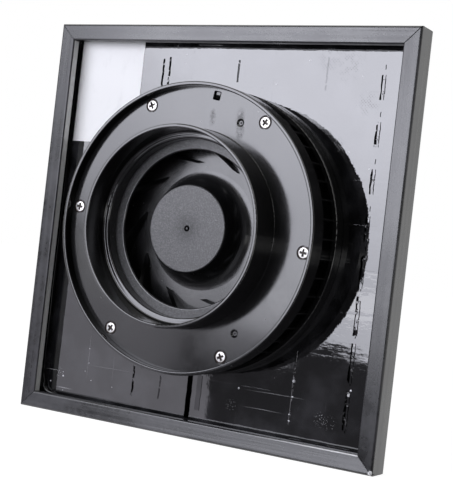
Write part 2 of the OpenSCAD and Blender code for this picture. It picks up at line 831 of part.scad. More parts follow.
// Pan-head screw with a cross recess, its head seat on z = 0
module cross_screw(head_r, head_h, shank_r, length) {
    dome_r = head_r * dome_ratio;
    difference() {
        union() {
            intersection() {
                pin(head_r, 0, head_h);
                translate([0, 0, head_h - dome_r]) sphere(r = dome_r);
            }
            pin(shank_r, -length, head_h / 2);
        }
        for (turn = [0, 90])
            rotate([0, 0, turn]) plate(cross_l, cross_w, head_h - cross_depth, head_h + cut);
    }
}

module flange_screws() {
    color("#c9c9c6") stand_up()
        rotate([0, 0, housing_turn]) ring_of(screw_count, screw_circle_r) translate([0, 0, z_head_seat])
            cross_screw(screw_head_d / 2, screw_head_h, screw_d / 2, screw_l);
}

module motor_screws() {
    color("#b4b4b2") stand_up()
        rotate([0, 0, housing_turn]) ring_of(motor_screw_count, motor_screw_circle_r, screw_step)
            translate([0, 0, z_motor_disc])
                cross_screw(motor_screw_head_d / 2, motor_screw_head_h, motor_screw_d / 2, motor_screw_l);
}

module motor_base() {
    color("#2a2a2d") stand_up()
        difference() {
            union() {
                pin(motor_disc_r, z_motor_seat, z_motor_disc);
                pin(stator_seat_r, z_motor_seat, z_stator_under);
                pin(tube_r, z_tube_under, z_tube_top);
                ring_of(motor_screw_count, board_post_circle_r) pin(board_post_r, z_motor_seat, z_board);
            }
            pin(tube_waist_r, z_tube_under - cut, z_tube_top + cut);
            pin(bearing_r, z_bearing_top - bearing_w, z_tube_top + cut);
            pin(bearing_r, z_tube_under - cut, z_bearing_under + bearing_w);
            rotate([0, 0, housing_turn]) ring_of(motor_screw_count, motor_screw_circle_r, screw_step)
                pin(motor_screw_d / 2 + screw_fit, z_motor_seat - cut, z_motor_disc + cut);
            at_leads() pin(lead_r + lead_gap, z_motor_seat - cut, z_motor_disc + cut);
        }
}

// Ball bearing with a recessed shield on each face, its lower face on z = 0
module bearing() {
    difference() {
        pin(bearing_r - bearing_fit, 0, bearing_w);
        pin(bearing_bore_r, -cut, bearing_w + cut);
        for (z = [-cut, bearing_w - bearing_recess])
            difference() {
                pin(bearing_r - bearing_ring_t, z, z + bearing_recess + cut);
                pin(bearing_bore_r + bearing_ring_t, z - cut, z + bearing_recess + 2 * cut);
            }
    }
}

module motor_bearings() {
    color("#b8babd") stand_up()
        for (z = [z_bearing_under, z_bearing_top - bearing_w])
            translate([0, 0, z]) bearing();
}

// Outline of one stator lamination
module lamination() {
    difference() {
        union() {
            circle(r = stator_core_r);
            for (i = [0 : tooth_count - 1])
                rotate(i * 360 / tooth_count)
                    translate([tooth_root_r, -tooth_w / 2])
                        square([tooth_end_r - tooth_root_r + tooth_tip_t / 2, tooth_w]);
            difference() {
                circle(r = stator_r);
                circle(r = tooth_end_r);
                for (i = [0 : tooth_count - 1])
                    rotate((i + 0.5) * 360 / tooth_count)
                        translate([tooth_root_r, -tooth_slot / 2]) square([stator_r, tooth_slot]);
            }
        }
        circle(r = tube_r + glue_fit);
    }
}

module stator_core() {
    color("#6f7276") stand_up()
        translate([0, 0, z_stator_under]) linear_extrude(stator_h) lamination();
}

// Coil wound round one tooth, with the tooth along +X
module coil() {
    difference() {
        translate([coil_in_r, -coil_half_w, z_stator_under - coil_t])
            cube([coil_l, 2 * coil_half_w, stator_h + 2 * coil_t]);
        translate([coil_in_r - cut, -tooth_w / 2, z_stator_under])
            cube([coil_l + 2 * cut, tooth_w, stator_h]);
    }
}

module stator_coils() {
    color("#b06a32") stand_up()
        for (i = [0 : tooth_count - 1])
            rotate([0, 0, i * 360 / tooth_count]) coil();
}

module circuit_board() {
    color("#1d5c38") stand_up()
        difference() {
            pin(board_r, z_board, z_board_top);
            pin(stator_seat_r + housing_fit, z_board - cut, z_board_top + cut);
        }
}

// Small part soldered on the circuit board
module on_board(size) {
    plate(size[0], size[1], z_board_top, z_board_top + size[2]);
}

module board_components() {
    color("#26262a") stand_up() {
        rotate([0, 0, chip_angle]) translate([chip_circle_r, 0, 0]) on_board(chip_size);
        ring_of(2, sensor_circle_r, sensor_angle) on_board(sensor_size);
        ring_of(2, chip_circle_r, capacitor_angle) pin(capacitor_r, z_board_top, z_board_top + capacitor_h);
    }
}

// Section of the hub, its flare and the back plate as one shell
module wheel_section() {
    flare_out_r = hub_flare_r + hub_wall;
    difference() {
        union() {
            translate([0, z_hub_ceiling]) square([hub_r - hub_edge_r, hub_face_t]);
            translate([hub_r - hub_edge_r, z_hub - hub_edge_r]) circle(r = hub_edge_r);
            translate([hub_in_r, flare_center[1]]) square([hub_wall, z_hub - hub_edge_r - flare_center[1]]);
            intersection() {
                translate(flare_center) circle(r = flare_out_r);
                translate([hub_in_r, z_wheel - hub_wall]) square(flare_out_r);
            }
            translate([flare_center[0], z_wheel_under]) square([wheel_r - flare_center[0], wheel_plate_t]);
        }
        translate(flare_center) circle(r = hub_flare_r);
        polygon([[hub_pip_r, z_hub + cut], [hub_dimple_r, z_hub + cut],
            [(hub_pip_r + hub_dimple_r) / 2, z_hub - hub_dimple_depth]]);
    }
}

// Outline of one backward-curved blade, its inner tip on +X
module blade_outline() {
    intersection() {
        difference() {
            circle(r = blade_out_r);
            circle(r = blade_in_r);
        }
        translate(blade_arc_center)
            difference() {
                circle(r = blade_arc_r + blade_t / 2);
                circle(r = blade_arc_r - blade_t / 2);
            }
        translate([blade_arc_center[0], -blade_t]) square([2 * wheel_r, 2 * wheel_r]);
    }
}

module impeller_wheel() {
    color("#2b2c30") stand_up()
        union() {
            rotate_extrude() wheel_section();
            difference() {
                for (i = [0 : blade_count - 1])
                    rotate([0, 0, blade_phase + i * blade_step])
                        translate([0, 0, z_wheel - wheel_plate_t / 2])
                            linear_extrude(blade_h + wheel_plate_t / 2) blade_outline();
                translate([0, 0, z_wheel])
                    cylinder(h = blade_h + cut, r1 = blade_in_r - blade_slope_inset, r2 = eye_r + blade_top_inset);
            }
        }
}

module shroud_section() {
    translate([eye_r + shroud_t / 2, z_blade_top]) square([wheel_r - eye_r - shroud_t / 2, shroud_t]);
    translate([eye_r + shroud_t / 2, z_blade_top + shroud_t / 2]) circle(r = shroud_t / 2);
}

module impeller_shroud() {
    color("#2b2c30") stand_up()
        rotate_extrude() shroud_section();
}

module rotor_yoke() {
    color("#8e9196") stand_up()
        difference() {
            pin(yoke_r, z_yoke_in - yoke_h, z_hub_ceiling);
            pin(yoke_in_r, z_yoke_in - yoke_h - cut, z_yoke_in);
            pin(shaft_r + glue_fit, z_yoke_in - cut, z_hub_ceiling + cut);
        }
}

module magnet_ring() {
    color("#4a4a4e") stand_up()
        difference() {
            pin(magnet_r, z_yoke_in - magnet_h, z_yoke_in);
            pin(magnet_in_r, z_yoke_in - magnet_h - cut, z_yoke_in + cut);
        }
}

module motor_shaft() {
    color("#c4c6c9") stand_up()
        difference() {
            pin(shaft_r, z_shaft_under, z_hub_ceiling);
            difference() {
                pin(shaft_r + cut, z_shaft_under + clip_t, z_shaft_under + 2 * clip_t);
                pin(shaft_r - clip_groove, z_shaft_under, z_shaft_under + 3 * clip_t);
            }
        }
}

module shaft_clip() {
    color("#9a9ca0") stand_up()
        difference() {
            pin(clip_r, z_shaft_under + clip_t, z_shaft_under + 2 * clip_t);
            pin(shaft_r - clip_groove + glue_fit, z_shaft_under, z_shaft_under + 3 * clip_t);
            translate([0, -clip_mouth / 2, z_shaft_under]) cube([clip_r + cut, clip_mouth, 3 * clip_t]);
        }
}

frame_top();
frame_bottom();
frame_left();
frame_right();
corner_keys();
cover_glass();
solar_cells();
cell_ribbons();
encapsulant();
backsheet();
edge_tape();
edge_sealant();
rating_label();
solder_tabs();
motor_leads();
bonding_ring();
louvred_housing();
intake_flange();
intake_collar();
flange_screws();
motor_base();
motor_screws();
motor_bearings();
stator_core();
stator_coils();
circuit_board();
board_components();
impeller_wheel();
impeller_shroud();
rotor_yoke();
magnet_ring();
motor_shaft();
shaft_clip();
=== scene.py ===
"""Looks of a solar attic fan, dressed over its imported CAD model.

Everything is in metres in the frame of the CAD model: the fan axis is Y, -Y points out of the
spigot towards the viewer and +Z runs up the panel. Finishes that work in millimetres say so.
"""

from __future__ import annotations

import logging
import math
from dataclasses import dataclass
from enum import Enum
from functools import partialmethod
from typing import Any, ClassVar, Sequence, Union

import bmesh
import bpy
from mathutils import Matrix, Vector, noise

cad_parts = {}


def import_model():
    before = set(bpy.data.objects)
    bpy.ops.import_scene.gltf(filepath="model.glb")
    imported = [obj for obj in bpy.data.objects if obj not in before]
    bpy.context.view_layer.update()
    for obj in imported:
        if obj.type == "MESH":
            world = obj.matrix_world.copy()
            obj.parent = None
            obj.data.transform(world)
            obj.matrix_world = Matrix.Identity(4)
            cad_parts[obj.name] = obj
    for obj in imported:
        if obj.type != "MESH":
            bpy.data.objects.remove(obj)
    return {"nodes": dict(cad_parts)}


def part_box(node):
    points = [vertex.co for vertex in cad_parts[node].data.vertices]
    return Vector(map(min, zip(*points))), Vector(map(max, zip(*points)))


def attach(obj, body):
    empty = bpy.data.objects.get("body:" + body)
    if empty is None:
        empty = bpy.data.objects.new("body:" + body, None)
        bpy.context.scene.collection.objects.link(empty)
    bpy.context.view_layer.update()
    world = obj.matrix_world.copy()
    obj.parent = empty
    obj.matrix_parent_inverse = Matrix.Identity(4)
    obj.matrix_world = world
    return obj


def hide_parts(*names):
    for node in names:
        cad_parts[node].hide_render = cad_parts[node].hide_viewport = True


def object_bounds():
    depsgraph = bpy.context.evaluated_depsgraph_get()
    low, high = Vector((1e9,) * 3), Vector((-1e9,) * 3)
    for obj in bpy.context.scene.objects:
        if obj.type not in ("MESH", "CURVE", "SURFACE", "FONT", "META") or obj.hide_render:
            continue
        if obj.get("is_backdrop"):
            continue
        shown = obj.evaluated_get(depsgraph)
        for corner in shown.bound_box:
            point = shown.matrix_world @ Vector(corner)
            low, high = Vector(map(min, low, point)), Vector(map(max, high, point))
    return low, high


LOG = logging.getLogger("attic_fan")
MM = 0.001
FIXED_BODY = "panel_housing"

Feed = Union["Signal", float, Sequence[float]]
Inputs = dict[Union[int, str], Feed]
Nodes = dict[str, bpy.types.Object]
Pair = tuple[float, float]
Colour = tuple[float, float, float]
Place = tuple[float, float, float]
Spot = tuple[float, float, float]  # place across, place up, radius
Ramp = tuple[float, float, float]  # where a change starts, where it ends, and a level
Streak = tuple[float, float, float, float]  # start, end, place to the side, strength

BLACK: Colour = (0.0, 0.0, 0.0)
ANODISED: Colour = (0.02, 0.02, 0.022)
MOULDED: Colour = (0.01, 0.01, 0.0105)


class Axis(Enum):
    """Direction in which a bar was drawn, as the scale of its marks."""

    ACROSS = (0.02, 1.0, 1.0)
    UP = (1.0, 1.0, 0.02)


class Zone(Enum):
    """Part of a moulding that has the coarse spark-eroded texture."""

    NONE = "none"
    HUB_FACE = "hub_face"
    INLET_FACE = "inlet_face"
    ALL = "all"


class NodeKit:
    """Adds nodes to one shader tree and links them."""

    def __init__(self, tree: bpy.types.NodeTree) -> None:
        """Keeps the tree that the nodes go into."""
        self.tree = tree

    def feed(self, socket: bpy.types.NodeSocket, value: Feed) -> None:
        """Links an input to a signal, or sets its own value."""
        if isinstance(value, Signal):
            self.tree.links.new(value.socket, socket)
        else:
            socket.default_value = value

    def add(self, kind: str, inputs: Inputs | Sequence[Feed] = (), **settings: Any) -> Signal:
        """Adds a node.

        Args:
            kind: Blender's name of the node type, without its first part.
            inputs: What its inputs get, in their order or else by name or number.
            settings: Properties to set on it.

        Returns:
            Its first output.
        """
        node = self.tree.nodes.new("ShaderNode" + kind)
        for key, value in settings.items():
            setattr(node, key, value)
        for key, value in inputs.items() if isinstance(inputs, dict) else enumerate(inputs):
            self.feed(node.inputs[key], value)
        return Signal(self, node.outputs[0])

    def point(self) -> Signal:
        """Returns the object coordinates."""
        return self.add("TexCoord")["Object"]

    def mix(self, factor: Feed, *colours: Feed) -> Signal:
        """Mixes two colours."""
        first, second = (value if isinstance(value, Signal) else (*value, 1.0) for value in colours)
        return self.add("Mix", {0: factor, 6: first, 7: second}, data_type="RGBA")[2]


class Signal:
    """An output of a node. Arithmetic on it, and its methods, add the nodes that they take."""

    def __init__(self, kit: NodeKit, socket: bpy.types.NodeSocket) -> None:
        self.kit, self.socket = kit, socket

    def __getitem__(self, key: int | str) -> Signal:
        """Returns another output of the same node."""
        return Signal(self.kit, self.socket.node.outputs[key])

    def math(self, operation: str, *values: Feed) -> Signal:
        """Returns the result of a math operation on the signal and other values."""
        return self.kit.add("Math", (self, *values), operation=operation)

    def __rsub__(self, other: float) -> Signal:
        """Takes the signal from a number."""
        return self.kit.add("Math", (other, self), operation="SUBTRACT")

    __add__ = __radd__ = partialmethod(math, "ADD")
    __sub__ = partialmethod(math, "SUBTRACT")
    __mul__ = __rmul__ = partialmethod(math, "MULTIPLY")
    __truediv__ = partialmethod(math, "DIVIDE")
    __or__ = __ror__ = partialmethod(math, "MAXIMUM")  # which joins masks
    __abs__ = partialmethod(math, "ABSOLUTE")

    def vector_math(self, operation: str, *values: Feed) -> Signal:
        """Returns the result of an operation on vectors."""
        return self.kit.add("VectorMath", (self, *values), operation=operation)

    def step(self, low: float, high: float, start: float = 0.0, end: float = 1.0) -> Signal:
        """Returns a level that goes smoothly from start, up to low, to end, from high on."""
        return self.kit.add("MapRange", (self, low, high, start, end), interpolation_type="SMOOTHSTEP")

    def fall(self, low: float, high: float, start: float = 1.0) -> Signal:
        """Returns a level that goes smoothly from start, up to low, to 0, from high on."""
        return self.step(low, high, start, 0.0)

    def band(self, low: float, high: float, edge: float) -> Signal:
        """Returns 1 from low to high, with a soft edge outside both."""
        half = (high - low) / 2
        return abs(self - (low + half)).fall(half, half + edge)

    def mix(self, *colours: Feed) -> Signal:
        """Mixes two colours by the signal."""
        return self.kit.mix(self, *colours)

    def split(self) -> tuple[Signal, Signal, Signal]:
        """Returns the three parts of a vector."""
        parts = self.kit.add("SeparateXYZ", (self,))
        return parts[0], parts[1], parts[2]

    def scaled(self, *scale: float) -> Signal:
        """Scales a vector, by a different factor along each axis."""
        return self.vector_math("MULTIPLY", scale)

    def millimetres(self) -> Signal:
        """Turns a place in metres into millimetres."""
        return self.scaled(*(1 / MM,) * 3)

    def radius(self) -> Signal:
        """Returns the distance of a place from the fan axis."""
        across, _, up = self.split()
        return length(across, up)

    def noise(self, scale: Feed, detail: float = 2.0) -> Signal:
        """Returns a noise of about 0.5, with so many features to the unit and so many finer layers."""
        return self.kit.add("TexNoise", {"Vector": self, "Scale": scale, "Detail": detail})

    def cells(self, scale: Feed) -> Signal:
        """Returns the distance of a place from the middle of its random cell."""
        return self.kit.add("TexVoronoi", {"Vector": self, "Scale": scale})

    def chance(self, other: Signal) -> Signal:
        """Returns a random value that belongs to a pair of whole numbers."""
        pair = self.kit.add("CombineXYZ", (self, other))
        return self.kit.add("TexWhiteNoise", (pair,), noise_dimensions="2D")

    def bump(self, depth: float) -> Signal:
        """Turns a height, 1 for the full depth in metres, into a normal."""
        return self.kit.add("Bump", {"Distance": depth, "Height": self})


def length(*parts: Signal) -> Signal:
    """Returns the length of a vector."""
    return sum(part * part for part in parts).math("SQRT")


def near_any(across: Signal, up: Signal, places: Sequence[Spot]) -> Signal:
    """Returns 1 near any of several places.

    Args:
        across: Place across the panel.
        up: Place up the panel.
        places: Where each spot is, and its radius.

    Returns:
        The mask, which fades out from half of the radius to one and a half times the radius.
    """
    mask: Feed = 0.0
    for x, z, size in places:
        mask |= length(across - x, up - z).fall(0.5 * size, 1.5 * size)
    return mask


def blacken(mask: Signal, colour: Feed, metal: Feed) -> tuple[Signal, Signal]:
    """Returns a colour and a metal share that show and mirror nothing where a mask is 1."""
    return mask.mix(colour, BLACK), mask | metal


class Effects:
    """Node groups that several finishes share, each built once."""

    SOCKETS = {
        "smudges": (("Scale", "Low", "High"), ("Value",)), "dust": (("Scale", "Amount"), ("Mask",)),
        "eroded": (("Scale",), ("Height", "Glint")), "drawn": (("Scale",), ("Broad", "Fine")),
    }
    SMUDGE_SHARES = (0.75, 0.25)
    SMUDGE_SPAN = (0.32, 0.68)
    SMUDGE_FINER = 9.0
    SPECK_SPAN = (0.08, 0.2)
    GRAIN_COARSER = 0.55
    GRAIN_PIT = 0.6
    GLINT_POWER = 3.0
    LINES_FINER = 7.0

    @classmethod
    def place(cls, name: str, at: Signal, *values: float) -> Signal:
        """Places a group in a material, and builds it on its first use.

        Args:
            name: Name of the group.
            at: Where the group reads its textures.
            values: Its other inputs.

        Returns:
            The group's first output.
        """
        group = bpy.data.node_groups.get(name) or cls.build(name)
        return at.kit.add("Group", (at, *values), node_tree=group)

    @classmethod
    def build(cls, name: str) -> bpy.types.NodeTree:
        """Builds a group.

        Args:
            name: Name of the group.

        Returns:
            The group.
        """
        tree = bpy.data.node_groups.new(name, "ShaderNodeTree")
        inputs, outputs = cls.SOCKETS[name]
        tree.interface.new_socket("Vector", in_out="INPUT", socket_type="NodeSocketVector")
        for way, entries in (("INPUT", inputs), ("OUTPUT", outputs)):
            for entry in entries:
                tree.interface.new_socket(entry, in_out=way, socket_type="NodeSocketFloat")
        kit = NodeKit(tree)
        given, out = tree.nodes.new("NodeGroupInput").outputs, tree.nodes.new("NodeGroupOutput").inputs
        signals = getattr(cls, name)(*(Signal(kit, given[entry]) for entry in ("Vector", *inputs)))
        for entry, signal in zip(outputs, signals):
            kit.feed(out[entry], signal)
        return tree

    @classmethod
    def smudges(cls, at: Signal, scale: Signal, low: Signal, high: Signal) -> tuple[Signal]:
        """Makes handling marks: a value that wanders between two levels."""
        layers = at.noise(scale, 4.0), at.noise(scale * cls.SMUDGE_FINER, 3.0)
        blend = sum(layer * share for layer, share in zip(layers, cls.SMUDGE_SHARES))
        return (blend.step(*cls.SMUDGE_SPAN) * (high - low) + low,)

    @classmethod
    def dust(cls, at: Signal, scale: Signal, amount: Signal) -> tuple[Signal]:
        """Makes sparse specks: a mask that is 1 on a speck."""
        cells = at.cells(scale)
        return (cells["Color"].split()[0].math("LESS_THAN", amount) * cells.fall(*cls.SPECK_SPAN),)

    @classmethod
    def eroded(cls, at: Signal, scale: Signal) -> tuple[Signal, Signal]:
        """Makes a spark-eroded texture: its heights, and the glints on top of its grains."""
        cells = at.cells(scale)
        height = at.noise(scale * cls.GRAIN_COARSER, 3.0) - cells * cls.GRAIN_PIT
        return height, cells["Color"].split()[1].math("POWER", cls.GLINT_POWER)

    @classmethod
    def drawn(cls, at: Signal, scale: Signal) -> tuple[Signal, Signal]:
        """Makes the broad and the fine marks of a drawn surface, on coordinates that are squeezed along it."""
        return at.noise(scale, 3.0), at.noise(scale * cls.LINES_FINER)


def new_material(name: str) -> tuple[bpy.types.Material, NodeKit, Any]:
    """Makes a material.

    Args:
        name: Its name.

    Returns:
        The material, its kit and its nodes.
    """
    material = bpy.data.materials.new(name)
    material.use_nodes = True
    return material, NodeKit(material.node_tree), material.node_tree.nodes


@dataclass(frozen=True)
class Finish:
    """A finish with one colour, which its kinds add detail to."""

    name: str
    colour: Colour
    roughness: float = 0.4
    ior: float = 1.5
    metallic: float = 0.0

    def build(self) -> bpy.types.Material:
        """Returns the material, made on its first use."""
        material = bpy.data.materials.get(self.name)
        if material:
            return material
        material, kit, nodes = new_material(self.name)
        material.diffuse_color = (*self.colour, 1.0)
        shader = nodes["Principled BSDF"].inputs
        plain: Inputs = {"Base Color": (*self.colour, 1.0), "Roughness": self.roughness, "IOR": self.ior,
                         "Metallic": self.metallic}
        for inputs in (plain, self.dress(kit.point())):
            for key, value in inputs.items():
                kit.feed(shader[key], value)
        return material

    def dress(self, at: Signal) -> Inputs:
        """Adds the detail of this kind of finish.

        Args:
            at: Object coordinates.

        Returns:
            What the inputs of the shader get.
        """
        raise NotImplementedError

    def smudged(self, at: Signal, scale: float, spread: float) -> Signal:
        """Returns a roughness that wanders about the plain one by a share of it."""
        return Effects.place("smudges", at, scale, self.roughness * (1 - spread), self.roughness * (1 + spread))

    def toned(self, factor: float) -> Colour:
        """Returns the colour times a factor."""
        return tuple(part * factor for part in self.colour)

    def shaded(self, mask: Signal, tones: Pair) -> Signal:
        """Returns a colour between two tones of the plain one."""
        return mask.mix(*(self.toned(factor) for factor in tones))


@dataclass(frozen=True)
class DrawnMetal(Finish):
    """Metal with marks along the direction in which it was drawn, the wear of one bar, and painted shade and
    highlights.
    """

    axis: Axis = Axis.ACROSS
    lines: float = 260.0
    fine: float = 0.12
    depth: float = 0.12 * MM
    smudges: float = 34.0
    tone_shares: Pair = (0.6, 0.4)
    tone_span: Pair = (0.3, 0.7)
    tones: Pair = (0.5, 2.2)
    shine_shares: Pair = (0.3, 0.12)
    slant: float = 0.0
    # bare metal for a chip, and also the colour of the painted edge highlight
    bare_and_highlight: Colour = (0.85, 0.85, 0.85)
    shaded_end: Ramp | None = None
    sheen: Ramp | None = None
    lip_level: Pair = (25.8 * MM, 26.2 * MM)
    # a painted highlight along the lip's inner edge: where it starts and ends along the bar and its strength, where it
    # lies to the side, and its soft edge
    edge_highlight: Ramp | None = None
    highlight_side: Pair = (110.4 * MM, 110.8 * MM)
    highlight_fade: float = 0.25 * MM
    # tone painted on the hem's inner face: black as shade on the top bar, pale as a highlight on the left bar
    hem_painted_tone: Colour | None = None
    hem_edge: Pair = (110.5 * MM, 110.8 * MM)
    hem_level: Pair = (26.6 * MM, 27.1 * MM)
    hem_highlight_fade: Ramp = (0.0, 1.0, 1.0)
    mitre_gap: float = 0.0
    mitre_fade: float = 0.15 * MM
    chip_at: Place | None = None
    chip_r: float = 1.5 * MM
    chip_edge: Pair = (1.2, 1.4)
    chip_grain: float = 900.0

    def dress(self, at: Signal) -> Inputs:
        """Adds drawing marks, handling marks, wear, and painted shade and highlights."""
        marks = Effects.place("drawn", at.scaled(*self.axis.value), self.lines)
        smudge = Effects.place("smudges", at, self.smudges, 0.0, 1.0)
        tone, shine = (marks * broad + smudge * soft for broad, soft in (self.tone_shares, self.shine_shares))
        height = marks + marks["Fine"] * self.fine
        if self.slant:
            height += at.split()[2] * (-self.slant / self.depth)
        marked = self.marked(at, self.shaded(tone.step(*self.tone_span), self.tones))
        rough = shine + (self.roughness - sum(self.shine_shares) / 2)
        return {**marked, "Roughness": rough, "Normal": height.bump(self.depth)}

    def marked(self, at: Signal, colour: Signal) -> Inputs:
        """Adds what sets one bar apart: painted shade at one end, sheen on its lip, a painted highlight along an edge,
        a painted tone on its hem, an open mitre, a chip.

        Args:
            at: Object coordinates.
            colour: Colour of the bar.

        Returns:
            What the inputs of the shader get for it.
        """
        across, deep, up = at.split()
        along, side = (across, up) if self.axis is Axis.ACROSS else (up, across)
        side = abs(side)
        coat: Inputs = {}
        metal: Feed = self.metallic
        # painted shade: the bar is darkened, and mirrors less, towards one end
        if self.shaded_end:
            colour, metal = blacken(along.fall(*self.shaded_end), colour, metal)
        if self.sheen:
            start, end, share = self.sheen
            weight = deep.fall(*self.lip_level) * along.step(start, end, 0.0, share)
            coat = {"Coat Weight": weight, "Coat Roughness": self.roughness}
        # painted highlight: a pale line along the rounded inner edge of the lip, where light catches it
        if self.edge_highlight:
            start, end, share = self.edge_highlight
            edge = side.band(*self.highlight_side, self.highlight_fade) * along.step(start, end, 0.0, share)
            colour = edge.mix(colour, self.bare_and_highlight)
        # the hem is painted in the given tone: black as shade, mirroring nothing, on the top bar; pale as a highlight,
        # weaker towards the top, on the left bar
        if self.hem_painted_tone:
            start, end, share = self.hem_highlight_fade
            hem = side.fall(*self.hem_edge) * deep.step(*self.hem_level) * along.step(start, end, 1.0, share)
            colour = hem.mix(colour, self.hem_painted_tone)
            metal = hem | metal if self.hem_painted_tone == BLACK else metal
        if self.mitre_gap:
            gap = (across - up).band(-self.mitre_gap / 2, self.mitre_gap / 2, self.mitre_fade)
            colour, metal = blacken(gap, colour, metal)
        if self.chip_at:
            ragged = at.vector_math("DISTANCE", self.chip_at)["Value"] + at.noise(self.chip_grain) * self.chip_r
            chip = ragged.fall(*(self.chip_r * share for share in self.chip_edge))
            colour = chip.mix(colour, self.bare_and_highlight)
        return {**coat, "Base Color": colour, "Metallic": metal}


@dataclass(frozen=True)
class MouldedPlastic(Finish):
    """Glossy moulded plastic, with a coarse texture in one zone, matt places, stains and painted shade."""

    smudges: Pair = (45.0, 0.25)
    flow: float = 70.0
    flow_depth: float = 0.012 * MM
    dust: Pair = (420.0, 0.02)
    dust_share: float = 0.35
    dust_colour: Colour = (0.25, 0.25, 0.25)
    zone: Zone = Zone.NONE
    grain: float = 2100.0
    grain_depth: float = 0.07 * MM
    zone_roughness: float = 0.45
    zone_tones: tuple[Colour, Colour] = ((0.012, 0.012, 0.0128), (0.096, 0.096, 0.1024))
    hub_face: Pair = (7.0 * MM, 7.3 * MM)
    # painted shade: on the hub face towards its middle and in the dimple round its pip, and on the blades beyond 38 mm
    hub_centre_shade: Ramp = (0.0, 13.0 * MM, 0.35)
    dimple_shade: Pair = (0.7 * MM, 1.7 * MM)
    blade_tip_shade: Ramp = (37.5 * MM, 38.5 * MM, 0.7)
    blade_back: Pair = (23.1 * MM, 23.6 * MM)
    inlet_r: Pair = (46.0 * MM, 50.6 * MM)
    inlet_top: Pair = (9.3 * MM, 9.5 * MM)
    edge: float = 0.2 * MM
    matt_spot: Spot | None = None
    matt: float = 0.6
    stains: tuple[Spot, ...] = ()
    stain_squeeze: float = 0.45
    stain_grain: float = 500.0
    stain_span: Pair = (0.25, 0.65)
    stain_matt: float = 0.2
    stain_dull: float = 0.3
    # painted shade on a band of wall: its radii and depths, how dark it is, and its soft edges
    shaded_wall: tuple[Pair, Pair] | None = None
    wall_shade: float = 0.7
    wall_shade_edges: Pair = (0.1 * MM, 0.3 * MM)
    dish: float = 0.0
    ledge_r: Pair = (51.4 * MM, 52.6 * MM)
    ledge_edge: float = 0.6 * MM
    ledge_level: Pair = (0.2 * MM, 3.0 * MM)
    ledge_foot: Pair = (-44.0 * MM, -24.0 * MM)
    ledge_end: Pair = (2.0 * MM, 16.0 * MM)

    def dress(self, at: Signal) -> Inputs:
        """Adds handling marks, flow marks, dust, the textured zone, a matt spot, stains and painted shade."""
        across, deep, up = at.split()
        away = at.radius()
        rough = self.smudged(at, *self.smudges)
        height = at.noise(self.flow) * (self.flow_depth / self.grain_depth)
        speck = Effects.place("dust", at, *self.dust)
        colour = (speck * self.dust_share).mix(self.colour, self.dust_colour)
        metal: Feed = 0.0
        if self.zone is not Zone.NONE:
            inside = self.inside(deep, away)
            eroded = Effects.place("eroded", at, self.grain)
            colour = at.kit.mix(inside, colour, eroded["Glint"].mix(*self.zone_tones))
            rough = rough * (1 - inside) + inside * self.zone_roughness
            height += inside * eroded
        if self.zone is Zone.HUB_FACE:
            # painted shade: the hub face darker towards its middle and in its dimple, and the blades darker, mirroring
            # less, in front of the back plate
            centre, rim, share = self.hub_centre_shade
            marked = inside * (away.fall(centre, rim, share) | away.band(*self.dimple_shade, self.edge))
            start, end, share = self.blade_tip_shade
            blades = away.step(start, end, 0.0, share) * deep.fall(*self.blade_back)
            colour, metal = blacken(marked | blades, colour, metal)
        if self.matt_spot:
            x, z, size = self.matt_spot
            rough += length(across - x, up - z).fall(size, size + self.edge, self.matt)
        if self.stains:
            marked = near_any(across, up * self.stain_squeeze, self.stains)
            marked *= at.noise(self.stain_grain, 4.0).step(*self.stain_span)
            rough += marked * self.stain_matt
            colour, metal = blacken(marked * self.stain_dull, colour, metal)
        # painted shade: a band of wall, the rim's outer wall on the flange and the spigot's inner wall in the collar,
        # darkened and mirroring less
        if self.shaded_wall:
            ring, wall = (value.band(*span, edge)
                          for value, span, edge in zip((away, deep), self.shaded_wall, self.wall_shade_edges))
            colour, metal = blacken(ring * wall * self.wall_shade, colour, metal)
        normal = height.bump(self.grain_depth)
        return {"Base Color": colour, "Roughness": rough, "Metallic": metal,
                "Normal": self.dished(at, normal) if self.dish else normal}

    def inside(self, deep: Signal, away: Signal) -> Feed:
        """Finds the textured zone.

        Args:
            deep: Place along the fan axis.
            away: Distance from the fan axis.

        Returns:
            A mask that is 1 in the zone.
        """
        if self.zone is Zone.ALL:
            return 1.0
        if self.zone is Zone.HUB_FACE:
            return deep.fall(*self.hub_face)
        return away.band(*self.inlet_r, self.edge) * deep.step(*self.inlet_top)

    def dished(self, at: Signal, normal: Signal) -> Signal:
        """Turns the foot of the ledge inside the spigot towards the fan axis.

        Args:
            at: Object coordinates.
            normal: Normal of the rest.

        Returns:
            The normal.
        """
        across, deep, up = at.split()
        ledge = at.radius().band(*self.ledge_r, self.ledge_edge) * deep.band(*self.ledge_level, self.edge)
        mask = ledge * up.fall(*self.ledge_foot) * across.fall(*self.ledge_end)
        inward = at.scaled(-1.0, 0.0, -1.0).vector_math("NORMALIZE").scaled(*(math.sin(self.dish),) * 3)
        cone = inward.vector_math("ADD", (0.0, -math.cos(self.dish), 0.0))
        return at.kit.add("Mix", {0: mask, 4: normal, 5: cone}, data_type="VECTOR")[1]


@dataclass(frozen=True)
class Imprint:
    """A ribbon or tape that shows through the film: where it runs, in millimetres, and how strongly."""

    across: float
    low: float
    high: float
    half: float = 0.4
    # how strongly the mark is painted black, mirroring nothing, in place of a dark reflection
    black: float = 1.0
    rise: float = 1.0
    dashed: bool = False


